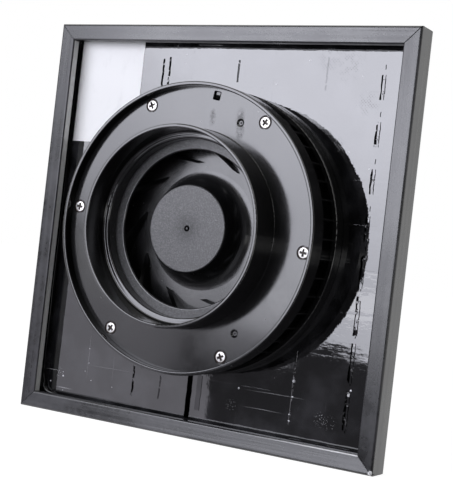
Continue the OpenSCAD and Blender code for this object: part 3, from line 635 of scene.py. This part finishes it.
@dataclass(frozen=True)
class EmbossedFilm(Finish):
    """Glossy film that shows what it was laminated over, with places and sizes in millimetres."""

    imprints: tuple[Imprint, ...] = (
        Imprint(96.2, -103.0, 102.0, 1.0, 1.0, 1.3, True), Imprint(62.3, -102.5, -62.0, 0.2, 0.0, 1.4),
        Imprint(61.5, 86.0, 104.0, 0.3, 0.25, 0.4), Imprint(-48.5, 84.0, 101.0), Imprint(-44.0, 83.0, 102.0),
        Imprint(4.0, 89.0, 101.0, 0.4, 0.8, 0.8), Imprint(-45.1, -102.6, -85.5, 0.45, 1.0, 0.8),
        Imprint(-25.9, -101.7, -88.9, 0.3, 0.6, 0.5), Imprint(-79.6, -102.0, -60.0, 0.3, 0.0, 0.3),
        Imprint(-5.0, -109.5, -84.0, 1.5, 1.0, 0.3), Imprint(1.5, -104.0, -84.0, 1.5, 0.35, 0.5),
    )
    edge: float = 0.4
    end: float = 0.8
    solid: float = 1.2
    broken: Pair = (0.34, 0.44)
    wander: float = 1.0
    wander_scale: Place = (0.03, 0.03, 0.25)
    dash_step: float = 25.95
    dash_end: float = 55.4
    dash: Pair = (21.5, 13.5)
    dash_change: Pair = (-20.0, 20.0)
    dash_fade: float = 0.6
    dash_swell: float = 4.0
    short_dash: tuple[Ramp, Ramp] = ((0.3, 0.5, 0.3), (3.3, 5.7, 0.4))
    stroke: Pair = (0.1, 0.7)
    stroke_edge: float = 0.2
    cell: Pair = (55.7, 24.47)
    cell_border: Pair = (0.38, 0.5)
    cell_tilt: float = 0.6
    patch: tuple[Pair, Pair] = ((26.7, 61.9), (-98.0, -88.3))
    patch_rise: float = 0.1
    bubbles: tuple[Spot, ...] = ((81.0, -96.8, 3.5), (86.5, -98.0, 3.5), (-101.0, -97.0, 3.0), (24.0, -98.0, 3.0))
    beads: float = 1.1
    bead_edge: Pair = (0.1, 0.28)
    # share of the painted glint on each bubble
    bead_glint_share: float = 0.6
    dents: tuple[Spot, ...] = ((63.0, 103.0, 7.0), (74.0, 100.0, 8.0), (88.0, 79.0, 6.0), (73.0, 55.0, 4.0))
    dent_grid: float = 1.8
    dent_edge: Pair = (0.3, 0.8)
    dent_worn: Pair = (0.42, 0.6)
    # how strongly the dents are painted black in place of dark reflections
    dent_dark: float = 0.5
    dot_rise: float = 0.12
    # painted highlights: pale lines across and up the film where ribbons cross under it
    crease_glints: tuple[Streak, ...] = (
        (28.0, 74.0, -87.4, 0.35), (29.0, 60.0, -97.2, 0.35), (-112.0, -101.0, -96.0, 0.5),
        (-82.0, -44.0, -89.4, 0.12), (-104.0, -88.0, -106.2, 0.5),
    )
    seam_glints: tuple[Streak, ...] = ((-103.0, -64.0, -79.5, 0.14), (-100.0, -78.0, -60.5, 0.08))
    crease_half: float = 0.08
    crease_edge: float = 0.25
    # painted glints: spots coloured pale that mirror broadly
    glints: tuple[Spot, ...] = (
        (62.3, -78.2, 0.8), (62.6, -87.1, 0.5), (61.8, -97.0, 0.4), (62.0, -100.6, 0.5), (97.4, -78.1, 0.5),
        (28.0, -87.4, 0.5), (-97.5, -98.9, 0.5), (-97.8, -96.4, 0.2), (-106.8, -103.4, 0.5), (-81.2, -93.7, 0.25),
        (-75.9, -98.7, 0.25), (-79.6, -79.5, 0.25), (-78.9, -88.3, 0.2),
    )
    glint_matt: float = 0.5
    # colour of the real dust specks and of the painted glints
    shine: Colour = (0.8, 0.8, 0.82)
    dust: Pair = (0.3, 0.03)
    dust_share: float = 0.35
    haze_span: Pair = (0.4, 0.75)
    haze_tones: Pair = (0.7, 3.6)
    smudges: Pair = (0.05, 0.5)
    swells: tuple[tuple[float, ...], ...] = ((0.045, 1.0, 1.6), (0.25, 3.0, 0.24))
    ripple: float = 0.14
    ripple_scale: Place = (0.12, 1.0, 0.55)
    depth: float = 0.1 * MM

    def dress(self, at: Signal) -> Inputs:
        """Adds the relief of the film, its black marks painted in place of dark reflections, its painted glints and
        the handling marks on it.
        """
        at = at.millimetres()
        across, _, up = at.split()
        stray = (at.scaled(*self.wander_scale).noise(1.0, 3.0) - 0.5) * self.wander
        line = across + stray
        relief, black = self.imprinted(at, line)
        waves = [(value * (2 * math.pi / self.dent_grid)).math("SINE") for value in (line, up)]
        grid = (waves[0] * waves[1]).step(*self.dent_edge) * at.noise(0.3, 3.0).step(*self.dent_worn)
        dents = near_any(across, up, self.dents) * grid
        dots = near_any(across, up, self.bubbles) * at.cells(self.beads).fall(*self.bead_edge)
        wide, tall = (value.band(*span, self.end) for value, span in zip((across, up), self.patch))
        height = relief + wide * tall * self.patch_rise + self.tilts(across, up) + (dots + dents) * self.dot_rise
        height += sum(at.noise(scale, detail) * share for scale, detail, share in self.swells)
        height += at.scaled(*self.ripple_scale).noise(1.0) * self.ripple
        # painted glints on spots and along lines
        glint = near_any(across, up, self.glints)
        for along, aside, streaks in ((across, up + stray, self.crease_glints), (up, line, self.seam_glints)):
            for start, end, place, share in streaks:
                middle = (start + end) / 2
                crease_glint = aside.band(place - self.crease_half, place + self.crease_half, self.crease_edge)
                glint |= along.band(middle, middle, end - middle) * crease_glint * share
        # painted dark reflections in the dents
        black |= dents * self.dent_dark
        haze = self.shaded(at.noise(0.06, 5.0).step(*self.haze_span), self.haze_tones)
        # real dust specks, and painted glints on the bubbles and on the raised spots and lines
        dust_and_glints = Effects.place("dust", at, *self.dust) * self.dust_share | dots * self.bead_glint_share | glint
        return {"Base Color": dust_and_glints.mix(black.mix(haze, BLACK), self.shine), "Metallic": black | glint,
                "Roughness": self.smudged(at, *self.smudges) + glint * self.glint_matt,
                "Normal": height.bump(self.depth)}

    def imprinted(self, at: Signal, line: Signal) -> tuple[Signal, Signal]:
        """Finds where ribbons and tape show.

        Args:
            at: Place.
            line: Place across the panel, with the stray of a hand-laid line.

        Returns:
            How far the film stands up, and how black it is painted in place of a dark reflection.
        """
        up = at.split()[2]
        broken = at.noise(0.5).step(*self.broken)
        relief: Feed = 0.0
        black: Feed = 0.0
        for mark in self.imprints:
            off = line - mark.across
            run = up.band(mark.low, mark.high, self.end)
            if mark.half < self.solid:
                run *= broken
            dark_mark = swell = off.band(-mark.half, mark.half, self.edge)
            if mark.dashed:
                dark_mark, share = self.dashes(at, off, mark.half)
                swell *= share
            relief |= swell * run * mark.rise
            # painted dark reflection: the mark turns black and mirrors nothing
            black |= dark_mark * run * mark.black
        return relief, black

    def dashes(self, at: Signal, off: Signal, half: float) -> tuple[Signal, Signal]:
        """Finds where a dashed ribbon shows: a long and a short dash in turn, and long ones alone lower down.

        Args:
            at: Place.
            off: Place across the ribbon.
            half: Half of the ribbon's width.

        Returns:
            Masks of the dashes, which are painted black in place of dark reflections, and of the swelling that a long
            one makes in the film.
        """
        up = at.split()[2]
        start = (up - self.dash_end).math("WRAP", self.dash_step, 0.0)
        over = start - up.step(*self.dash_change, *self.dash)
        thick = at.scaled(0.0, 0.0, 0.06).noise(1.0).step(0.35, 0.65, *self.stroke)
        thin = self.stroke[0]
        left = (abs(off + half) - thick).fall(0.0, self.stroke_edge)
        sides = left | off.band(half - thin, half + thin, self.stroke_edge)
        short = off.band(*self.short_dash[0]) * over.band(*self.short_dash[1])
        swell = start.step(0.0, self.dash_swell) * over.fall(-self.dash_swell, 0.0)
        return sides * over.fall(0.0, self.dash_fade) | short, swell

    def tilts(self, across: Signal, up: Signal) -> Signal:
        """Makes the relief of cells that each lie at a slant of their own.

        Args:
            across: Place across the panel.
            up: Place up the panel.

        Returns:
            The relief.
        """
        turns = [value / pitch for value, pitch in zip((across, up), self.cell)]
        slopes = turns[0].math("ROUND").chance(turns[1].math("ROUND"))["Color"].split()
        relief: Feed = 0.0
        for turn, slope in zip(turns, slopes):
            part = turn.math("WRAP", 0.5, -0.5)
            relief += part * (slope - 0.5) * abs(part).fall(*self.cell_border)
        return relief * self.cell_tilt


@dataclass(frozen=True)
class WhiteFilm(Finish):
    """White printed film: slightly wavy, with a soft sheen and faint scuffs."""

    scuff_span: Pair = (0.55, 0.75)
    tones: Pair = (1.0, 0.94)
    depth: float = 0.05 * MM

    def dress(self, at: Signal) -> Inputs:
        """Adds waves, scuffs and a faint shade."""
        scuff = at.scaled(1.0, 1.0, 0.4).noise(160.0, 4.0).step(*self.scuff_span)
        return {"Base Color": self.shaded(scuff, self.tones), "Roughness": self.smudged(at, 50.0, 0.2),
                "Normal": at.noise(55.0).bump(self.depth)}


@dataclass(frozen=True)
class SoftSolid(Finish):
    """Rubber, foam or adhesive: an uneven surface with fine pores."""

    pores: float = 900.0
    depth: float = 0.05 * MM
    swell: float = 2.0
    tones: Pair = (0.8, 1.3)

    def dress(self, at: Signal) -> Inputs:
        """Adds pores, unevenness and a varied tone."""
        swell = at.noise(self.pores / 6.0, 3.0)
        return {"Base Color": self.shaded(swell.step(0.35, 0.65), self.tones),
                "Roughness": self.smudged(at, 80.0, 0.2),
                "Normal": (at.cells(self.pores) + swell * self.swell).bump(self.depth)}


@dataclass(frozen=True)
class SiliconCell(Finish):
    """Silicon cell with fine printed fingers and a tone of its own in each cell, in millimetres."""

    pitch: Pair = (56.0, 24.6)
    finger: float = 1.9
    finger_edge: Pair = (0.05, 0.14)
    finger_share: float = 0.8
    silver: Colour = (0.2, 0.22, 0.27)
    tones: Pair = (0.6, 1.5)

    def dress(self, at: Signal) -> Inputs:
        """Adds the fingers and the tone of each cell."""
        at = at.millimetres()
        across, _, up = at.split()
        column, row = ((value / step).math("FLOOR") for value, step in zip((across, up), self.pitch))
        shade = (column.chance(row) + at.noise(0.08, 4.0)) * 0.5
        line = up.math("PINGPONG", self.finger / 2).fall(*self.finger_edge, self.finger_share)
        return {"Base Color": line.mix(self.shaded(shade, self.tones), self.silver),
                "Roughness": self.smudged(at, 0.2, 0.2)}


@dataclass(frozen=True)
class PlatedSteel(Finish):
    """Plated or ground steel, with painted shade in the cross of every screw on a circle and round its head."""

    scratch: float = 700.0
    depth: float = 0.006 * MM
    spread: float = 0.2
    tones: Pair = (0.85, 1.12)
    # colour of the painted shade in the screws' crosses and round their heads
    dark: Colour = (0.035, 0.02, 0.014)
    circle_r: float = 0.0
    count: int = 6
    turn: float = math.radians(-5.0)
    cross_w: Pair = (0.62 * MM, 0.77 * MM)
    cross_l: Pair = (2.0 * MM, 2.2 * MM)
    head_r: Pair = (2.75 * MM, 2.9 * MM)

    def dress(self, at: Signal) -> Inputs:
        """Adds fine scratches, and painted shade on screws."""
        mark = at.scaled(1.0, 0.15, 0.4).noise(self.scratch, 3.0)
        colour = self.shaded(mark.step(0.35, 0.65), self.tones)
        metal: Feed = self.metallic
        if self.circle_r:
            # painted shade in each recessed cross and in the gap round each head, which mirrors less there
            screw_shade = self.screw_shade(at)
            colour, metal = screw_shade.mix(colour, self.dark), (1 - screw_shade) * metal
        return {"Base Color": colour, "Metallic": metal, "Normal": mark.bump(self.depth),
                "Roughness": mark * self.spread + (self.roughness - self.spread / 2)}

    def screw_shade(self, at: Signal) -> Signal:
        """Finds the painted shade on the screws of the circle.

        Args:
            at: Object coordinates.

        Returns:
            A mask that is 1 in the cross of every screw and round its head.
        """
        across, _, up = at.split()
        half = math.pi / self.count
        angle = (up.math("ARCTAN2", across) - self.turn).math("WRAP", half, -half)
        away = at.radius()
        aside, out = abs(away * angle.math("SINE")), abs(away * angle.math("COSINE") - self.circle_r)
        cross = aside.math("MINIMUM", out).fall(*self.cross_w) * (aside | out).fall(*self.cross_l)
        return cross | length(aside, out).step(*self.head_r)


@dataclass(frozen=True)
class WoundCopper(Finish):
    """Enamelled wire laid in turns, in millimetres."""

    turn: float = 0.45
    depth: float = 0.8 * MM
    tones: Pair = (0.6, 1.4)

    def dress(self, at: Signal) -> Inputs:
        """Adds the turns and a varied tone."""
        at = at.millimetres()
        return {"Base Color": self.shaded(at.noise(0.9), self.tones),
                "Normal": at.radius().math("PINGPONG", self.turn / 2).bump(self.depth)}


@dataclass(frozen=True)
class SheetStack(Finish):
    """Edge of a stack of thin sheets, in millimetres."""

    sheet: float = 0.5
    joint: float = 0.08
    joint_tone: float = 0.3
    tones: Pair = (0.8, 1.2)

    def dress(self, at: Signal) -> Inputs:
        """Adds the sheets and a varied tone."""
        at = at.millimetres()
        joint = at.split()[1].math("PINGPONG", self.sheet / 2).fall(0.0, self.joint)
        tone = self.shaded(at.noise(0.5, 3.0), self.tones)
        return {"Base Color": joint.mix(tone, self.toned(self.joint_tone)), "Roughness": self.smudged(at, 0.2, 0.25)}


@dataclass(frozen=True)
class ClearGlass(Finish):
    """Clear tempered glass with faint rolling waves."""

    depth: float = 0.01 * MM

    def dress(self, at: Signal) -> Inputs:
        """Makes the shader clear and adds the waves."""
        return {"Transmission Weight": 1.0, "Normal": at.noise(60.0, 1.0).bump(self.depth)}


GLASS = ClearGlass("clear_glass", (0.95, 0.98, 0.97), 0.02)
SEALANT = SoftSolid("silicone_bead", (0.006, 0.006, 0.006), 0.12, 1.45, pores=260.0, depth=0.02 * MM)
GROUND_STEEL = PlatedSteel("ground_steel", (0.6, 0.61, 0.62), 0.25, metallic=1.0)


def add_object(name: str, data: Any) -> bpy.types.Object:
    """Adds an object to the scene."""
    made = bpy.data.objects.new(name, data)
    bpy.context.scene.collection.objects.link(made)
    return made


def add_shape(name: str, shape: bmesh.types.BMesh, material: bpy.types.Material) -> bpy.types.Object:
    """Adds a finished shape to the scene.

    Args:
        name: Name of the object.
        shape: The shape, which is used up.
        material: Its material.

    Returns:
        The object.
    """
    mesh = bpy.data.meshes.new(name)
    shape.to_mesh(mesh)
    shape.free()
    mesh.materials.append(material)
    return add_object(name, mesh)


def make_piece(name: str, shape: bmesh.types.BMesh, finish: Finish, stands_for: str) -> bpy.types.Object:
    """Turns a finished shape into a piece that stands for a CAD node.

    Args:
        name: Name of the piece.
        shape: The shape, which is used up.
        finish: Its finish.
        stands_for: The CAD node that it replaces.

    Returns:
        The piece.
    """
    bmesh.ops.recalc_face_normals(shape, faces=shape.faces)
    piece = add_shape(name, shape, finish.build())
    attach(piece, FIXED_BODY)
    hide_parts(stands_for)
    LOG.info("made %s with %d faces", name, len(piece.data.polygons))
    return piece


@dataclass
class SubAssembly:
    """CAD nodes that belong together, and their finishes."""

    nodes: Nodes
    finishes: ClassVar[dict[str, Finish]] = {}

    def build(self) -> None:
        """Gives every node its finish."""
        LOG.info("building %s", type(self).__name__)
        for name, finish in self.finishes.items():
            materials = self.nodes[name].data.materials
            materials.clear()
            materials.append(finish.build())
            LOG.info("dressed %s in %s", name, finish.name)


@dataclass
class PanelFrame(SubAssembly):
    """The four bars of the frame and the keys in its corners."""

    finishes = {
        # top bar: painted shade at its left end, and its hem painted black as shade
        "frame_top": DrawnMetal("anodised_top_bar", ANODISED, 0.29, 1.79, hem_painted_tone=BLACK,
                                shaded_end=(-0.115, -0.04, 0.34), mitre_gap=0.5 * MM),
        # foot bar: a painted highlight along the right part of its inner edge, and a real chip at its corner
        "frame_bottom": DrawnMetal("anodised_foot_bar", ANODISED, 0.29, 1.77, slant=0.15,
                                   chip_at=(0.1186, 0.0258, -0.1188), edge_highlight=(0.03, 0.1, 0.9)),
        # left bar: its hem painted pale as a highlight, weaker towards the top
        "frame_left": DrawnMetal("anodised_left_bar", ANODISED, 0.29, 1.58, axis=Axis.UP,
                                 hem_painted_tone=(0.85, 0.85, 0.82), hem_highlight_fade=(0.03, 0.065, 0.7)),
        "frame_right": DrawnMetal("anodised_right_bar", ANODISED, 0.29, 1.68, axis=Axis.UP, mitre_gap=0.5 * MM,
                                  chip_at=(0.1188, 0.0258, -0.1184), sheen=(-0.01, 0.02, 0.3)),
        "corner_keys": DrawnMetal("mill_aluminium", (0.5, 0.51, 0.52), 0.4, metallic=1.0, axis=Axis.UP,
                                  depth=0.01 * MM),
    }


@dataclass
class FanHousing(SubAssembly):
    """Louvred housing, intake flange and collar, with their screws and adhesive."""

    finishes = {
        "bonding_ring": SoftSolid("adhesive", (0.02, 0.02, 0.02), 0.55),
        "louvred_housing": MouldedPlastic("housing_plastic", MOULDED, 0.16, 1.73, matt_spot=(0.0043, 0.0762, 0.0042)),
        # flange: painted shade on its rim's outer wall, and real stains by the dimple
        "intake_flange": MouldedPlastic(
            "flange_plastic", MOULDED, 0.15, 1.83, shaded_wall=((80.2 * MM, 80.9 * MM), (0.9 * MM, 5.2 * MM)),
            stains=((0.0274, 0.0284, 0.0024), (0.0282, 0.0254, 0.0022), (0.0095, 0.0285, 0.0018))),
        # collar: painted shade on the spigot's inner wall
        "intake_collar": MouldedPlastic(
            "collar_plastic", MOULDED, 0.13, 1.8, zone=Zone.INLET_FACE, wall_shade=0.5, dish=math.radians(11.0),
            shaded_wall=((53.9 * MM, 54.8 * MM), (-13.4 * MM, 1.0 * MM))),
        "flange_screws": PlatedSteel("nickel_screw", (0.97, 0.95, 0.92), 0.45, metallic=1.0, circle_r=75.5 * MM),
    }


@dataclass
class FanMotor(SubAssembly):
    """Impeller and the outer-rotor motor inside its hub."""

    finishes = {
        # the wheel: painted shade on its hub face and its blades
        "impeller_wheel": MouldedPlastic("wheel_plastic", MOULDED, 0.22, 1.78, zone=Zone.HUB_FACE),
        "impeller_shroud": MouldedPlastic("shroud_plastic", MOULDED, 0.22, 1.78),
        "rotor_yoke": PlatedSteel("zinc_yoke", (0.5, 0.5, 0.5), 0.35, metallic=1.0),
        "magnet_ring": SoftSolid("ferrite", (0.05, 0.05, 0.052), 0.55, pores=1200.0),
        "motor_shaft": GROUND_STEEL,
        "shaft_clip": GROUND_STEEL,
        "motor_base": MouldedPlastic("motor_plastic", (0.03, 0.03, 0.032), 0.45, zone=Zone.ALL),
        "motor_screws": PlatedSteel("zinc_screw", (0.6, 0.6, 0.58), 0.3, metallic=1.0),
        "motor_bearings": GROUND_STEEL,
        "stator_core": SheetStack("steel_sheets", (0.28, 0.29, 0.3), 0.4, metallic=1.0),
        "stator_coils": WoundCopper("enamelled_copper", (0.55, 0.22, 0.08), 0.3, metallic=1.0),
        "circuit_board": SoftSolid("solder_mask", (0.012, 0.11, 0.05), 0.35, pores=1500.0, depth=0.01 * MM),
        "board_components": MouldedPlastic("chip_plastic", (0.015, 0.015, 0.016), 0.5, zone=Zone.ALL),
    }


@dataclass
class Laminate(SubAssembly):
    """Glass, cells and backsheet, with what seals them into the frame."""

    finishes = {
        "solar_cells": SiliconCell("silicon_cell", (0.012, 0.016, 0.042), 0.25, 1.8),
        "cell_ribbons": PlatedSteel("tinned_ribbon", (0.62, 0.63, 0.65), 0.35, metallic=1.0),
        "encapsulant": SoftSolid("black_encapsulant", (0.012, 0.012, 0.014), 0.35, pores=500.0, depth=0.01 * MM),
        "backsheet": EmbossedFilm("embossed_film", (0.01, 0.01, 0.011), 0.03, 2.05),
        "edge_tape": SoftSolid("foam_tape", (0.02, 0.02, 0.02), 0.8),
        "rating_label": WhiteFilm("white_label", (0.9, 0.9, 0.9)),
        "solder_tabs": PlatedSteel("bare_copper", (0.7, 0.36, 0.2), 0.35, metallic=1.0),
        "motor_leads": SoftSolid("lead_insulation", (0.3, 0.01, 0.01), 0.45, pores=700.0, depth=0.01 * MM),
    }
    glass_edge: float = 0.4 * MM
    glass_gap: float = 0.04 * MM
    bead_half: float = 114.4 * MM
    bead_w: float = 2.0 * MM
    bead_h: float = 1.2 * MM
    bead_outline: tuple[Pair, ...] = ((0.0, 0.0), (1.0, 0.0), (0.85, 0.45), (0.5, 0.8), (0.0, 1.0))
    bead_corner: float = 3.0 * MM
    corner_steps: int = 4
    bead_step: float = 5.0 * MM
    bead_weld: float = 0.05 * MM
    bead_wave: float = 0.28 * MM
    wave_scales: Pair = (90.0, 300.0)
    rim: float = 0.2 * MM
    lift: float = 0.1 * MM
    smear_at: Pair = (-0.112, -0.112)
    smear_reach: float = 12.0 * MM
    smear_w: float = 6.0 * MM
    smear_h: float = 1.8 * MM
    smear_wave: float = 0.4

    def build(self) -> None:
        """Dresses the nodes, and makes the glass and the bead."""
        super().build()
        self.build_glass()
        self.build_bead()

    def build_glass(self) -> None:
        """Makes the glass with ground edges, a hair clear of what lies behind it."""
        low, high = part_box("cover_glass")
        low.y += self.glass_gap
        shape = bmesh.new()
        bmesh.ops.create_cube(shape, size=1.0)
        bmesh.ops.scale(shape, vec=high - low, verts=shape.verts)
        bmesh.ops.translate(shape, vec=(low + high) / 2, verts=shape.verts)
        bmesh.ops.bevel(shape, geom=shape.edges[:], offset=self.glass_edge, segments=2, profile=0.5,
                        affect="EDGES", material=-1)
        make_piece("ground_glass", shape, GLASS, "cover_glass")

    def build_bead(self) -> None:
        """Makes the hand-run bead of sealant between the shelf and the backsheet."""
        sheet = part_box("backsheet")[0].y
        shape = bmesh.new()
        run = self.bead_half - self.bead_corner - self.bead_w
        ring = [shape.verts.new((-run, sheet - rise * self.bead_h, -self.bead_half + inward * self.bead_w))
                for inward, rise in self.bead_outline]
        front = [shape.edges.new(pair) for pair in zip(ring, ring[1:] + ring[:1])]
        steps = round(2 * run / self.bead_step)
        way, centre = Vector((1.0, 0.0, 0.0)), Vector((run, 0.0, -run))
        quarter = Matrix.Rotation(-math.pi / 2, 3, "Y")
        for _ in range(4):
            for _ in range(steps):
                made = bmesh.ops.extrude_edge_only(shape, edges=front)["geom"]
                front = [part for part in made if isinstance(part, bmesh.types.BMEdge)
                         and all(vert in made for vert in part.verts)]
                verts = list({vert for edge in front for vert in edge.verts})
                bmesh.ops.translate(shape, vec=way * (2 * run / steps), verts=verts)
            made = bmesh.ops.spin(shape, geom=front, cent=centre + Vector((0.0, sheet, 0.0)), axis=(0.0, 1.0, 0.0),
                                  angle=-math.pi / 2, steps=self.corner_steps, use_merge=False,
                                  use_duplicate=False)["geom_last"]
            front = [part for part in made if isinstance(part, bmesh.types.BMEdge)]
            way, centre = quarter @ way, quarter @ centre
        bmesh.ops.remove_doubles(shape, verts=shape.verts, dist=self.bead_weld)
        self.unsettle(shape, sheet)
        piece = make_piece("sealant_bead", shape, SEALANT, "edge_sealant")
        smooth = piece.modifiers.new("smooth", "SUBSURF")
        smooth.levels = smooth.render_levels = 1
        for face in piece.data.polygons:
            face.use_smooth = True

    def unsettle(self, shape: bmesh.types.BMesh, sheet: float) -> None:
        """Lets the free side of the bead wander, and smears it in one corner.

        Args:
            shape: The bead.
            sheet: Level of the backsheet.
        """
        broad, fine = self.wave_scales
        for vert in shape.verts:
            inward = Vector((-vert.co.x, 0.0, -vert.co.z)).normalized()
            outside = max(abs(vert.co.x), abs(vert.co.z)) > self.bead_half - self.rim
            wave = noise.noise(vert.co * broad) + 0.5 * noise.noise(vert.co * fine)
            if not outside:
                vert.co += inward * (wave * self.bead_wave)
            if sheet - vert.co.y > self.lift:
                vert.co.y += 0.5 * wave * self.bead_wave
            far = math.dist((vert.co.x, vert.co.z), self.smear_at)
            thick = max(0.0, 1.0 - (far / self.smear_reach) ** 2)
            if not outside:
                vert.co += inward * (thick * self.smear_w * (1.0 + self.smear_wave * wave))
                if sheet - vert.co.y > self.lift:
                    vert.co.y -= thick * self.smear_h


@dataclass
class Studio:
    """Camera, soft light, pale floor and white surround."""

    lens: float = 88.05
    lens_shift: Pair = (0.0015, 0.002)
    clip_start: float = 0.01
    eye: Place = (0.36669, -0.57756, -0.01170)
    right: Place = (0.85901, 0.49929, 0.11314)
    up: Place = (-0.09667, -0.05883, 0.99358)
    ambient: float = 0.36
    front_gloom: float = 0.05
    behind: Pair = (-0.1, 0.2)
    overhead: Pair = (0.4, 0.65)
    floor_half: float = 6.0
    floor_grey: float = 0.35
    floor_glow: float = 0.9
    card_half: Pair = (1.1, 0.9)
    card_place: Pair = (-0.65, -0.87)
    card_lean: float = 0.597
    card_blend: Pair = (-0.0137, -0.0107)
    card_shades: Pair = (0.8, 0.1)
    card_tint: Colour = (0.99, 0.97, 1.08)
    key_foot: Place = (-0.24, -0.44, 0.0)
    key_facing: Place = (0.5, 0.866, 0.0)
    key_span: tuple[float, ...] = (-0.27, 0.28, -0.13, 0.29)
    key_fades: tuple[tuple[float, ...], ...] = (
        (0.785, 0.62, -0.118, -0.085, 0.0), (0.785, 0.62, -0.05, 0.06, 0.74),
        (0.2, 0.98, -0.0797, -0.0677, 0.0), (0.0, 1.0, -0.06, 0.16, 0.7),
    )
    key_spill: tuple[Spot, ...] = ((0.027, -0.1, 0.025),)
    spill_share: float = 0.18
    key_glow: float = 4.75
    key_tint: Colour = (0.975, 0.985, 1.09)

    def build(self, low: Vector) -> None:
        """Builds the studio.

        Args:
            low: Lowest corner of the object.
        """
        bpy.context.scene.view_settings.view_transform = "Standard"
        self.build_camera()
        self.build_world()
        self.build_floor(low.z)
        self.build_card(low.z)
        self.build_key()

    def build_camera(self) -> None:
        """Sets the camera where the photograph was taken."""
        camera = bpy.data.cameras.new("camera")
        camera.lens = self.lens
        camera.shift_x, camera.shift_y = self.lens_shift
        camera.clip_start = self.clip_start
        right = Vector(self.right).normalized()
        back = right.cross(Vector(self.up)).normalized()
        turn = Matrix((right, back.cross(right), back)).transposed().to_4x4()
        taker = add_object("camera", camera)
        taker.matrix_world = Matrix.Translation(self.eye) @ turn
        bpy.context.scene.camera = taker

    def build_world(self) -> None:
        """Makes the surround: white to look at, behind the object and above it, dark in front, even as light."""
        world = bpy.data.worlds.new("surround")
        world.use_nodes = True
        bpy.context.scene.world = world
        kit = NodeKit(world.node_tree)
        path = kit.add("LightPath")
        _, deep, up = kit.add("TexCoord")["Generated"].split()
        white = deep.step(*self.behind, self.front_gloom, 1.0) | up.step(*self.overhead)
        seen, glossy = path["Is Camera Ray"] | path["Is Transmission Ray"], path["Is Glossy Ray"]
        even = (1 - (seen | glossy)) * self.ambient
        shown = world.node_tree.nodes["Background"].inputs
        kit.feed(shown["Strength"], (seen | glossy * white) + even)
        kit.feed(shown["Color"], (1.0, 1.0, 1.0, 1.0))

    def build_floor(self, level: float) -> None:
        """Makes the pale floor, which shows the object's shadow.

        Args:
            level: Height of the floor.
        """
        material, kit, _ = new_material("pale_floor")
        path = kit.add("LightPath")
        seen = path["Is Camera Ray"] | path["Is Glossy Ray"] | path["Is Transmission Ray"]
        matt = kit.add("BsdfDiffuse", {"Color": (*(self.floor_grey,) * 3, 1.0)})
        glow = kit.add("Emission", {"Strength": seen * self.floor_glow})
        self.add_card("floor", material, kit.add("AddShader", (matt, glow)), (self.floor_half,) * 2, (0.0, 0.0, level))

    def build_card(self, level: float) -> None:
        """Lays a card in front of the object, grey at the left and black at the right, for its gloss alone to show.

        Args:
            level: Height of the floor.
        """
        material, kit, _ = new_material("shaded_card")
        across, deep, _ = kit.point().split()
        shade = (across - deep * self.card_lean).step(*self.card_blend, *self.card_shades)
        glow = kit.add("Emission", {"Color": (*self.card_tint, 1.0), "Strength": shade})
        card = self.add_card("shaded_card", material, glow, self.card_half, (*self.card_place, level + MM))
        card.visible_camera = card.visible_diffuse = card.visible_shadow = card.visible_transmission = False

    def add_card(self, name: str, material: bpy.types.Material, surface: Signal, half: Pair,
                 place: Sequence[float]) -> bpy.types.Object:
        """Adds a level card to the stage.

        Args:
            name: Its name.
            material: Its material.
            surface: What its surface shows, in place of the plain shader.
            half: Half of its width and of its depth.
            place: Its centre.

        Returns:
            The card.
        """
        nodes = material.node_tree.nodes
        surface.kit.feed(nodes["Material Output"].inputs["Surface"], surface)
        nodes.remove(nodes["Principled BSDF"])
        shape = bmesh.new()
        bmesh.ops.create_grid(shape, x_segments=1, y_segments=1, size=1.0)
        bmesh.ops.scale(shape, vec=(*half, 1.0), verts=shape.verts)
        bmesh.ops.translate(shape, vec=place, verts=shape.verts)
        card = add_shape(name, shape, material)
        card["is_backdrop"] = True
        return card

    def build_key(self) -> None:
        """Stands the softbox at the left in front of the object: dimmer towards its foot and its left."""
        left, right, low, high = self.key_span
        foot, facing = Vector(self.key_foot), Vector(self.key_facing)
        across = Vector((facing.y, -facing.x, 0.0))
        lamp = bpy.data.lights.new("key_softbox", "AREA")
        lamp.shape = "RECTANGLE"
        lamp.size, lamp.size_y = right - left, high - low
        lamp.energy = self.key_glow * math.pi * lamp.size * lamp.size_y
        lamp.color = self.key_tint
        lamp.use_nodes = True
        kit = NodeKit(lamp.node_tree)
        x, _, z = kit.add("NewGeometry")["Position"].split()
        aside = (x - foot.x) / across.x
        glow: Feed = 1.0
        for share_across, share_up, start, end, level in self.key_fades:
            glow *= (aside * share_across + z * share_up).step(start, end, level, 1.0)
        spill = near_any(aside, z, self.key_spill) * self.spill_share
        kit.feed(lamp.node_tree.nodes["Emission"].inputs["Strength"], glow | spill)
        stand = add_object("key_softbox", lamp)
        stand.location = foot + across * (left + right) / 2 + Vector((0.0, 0.0, (low + high) / 2))
        stand.rotation_euler = facing.to_track_quat("-Z", "Y").to_euler()
        stand.visible_camera = False


def main() -> None:
    """Builds every sub-assembly and the studio."""
    logging.basicConfig(level=logging.INFO, format="%(name)s: %(message)s")
    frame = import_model()
    cad_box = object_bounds()
    nodes: Nodes = frame["nodes"]
    for part in (PanelFrame(nodes), Laminate(nodes), FanHousing(nodes), FanMotor(nodes)):
        part.build()
    Studio().build(cad_box[0])


if __name__ == "__main__":
    main()
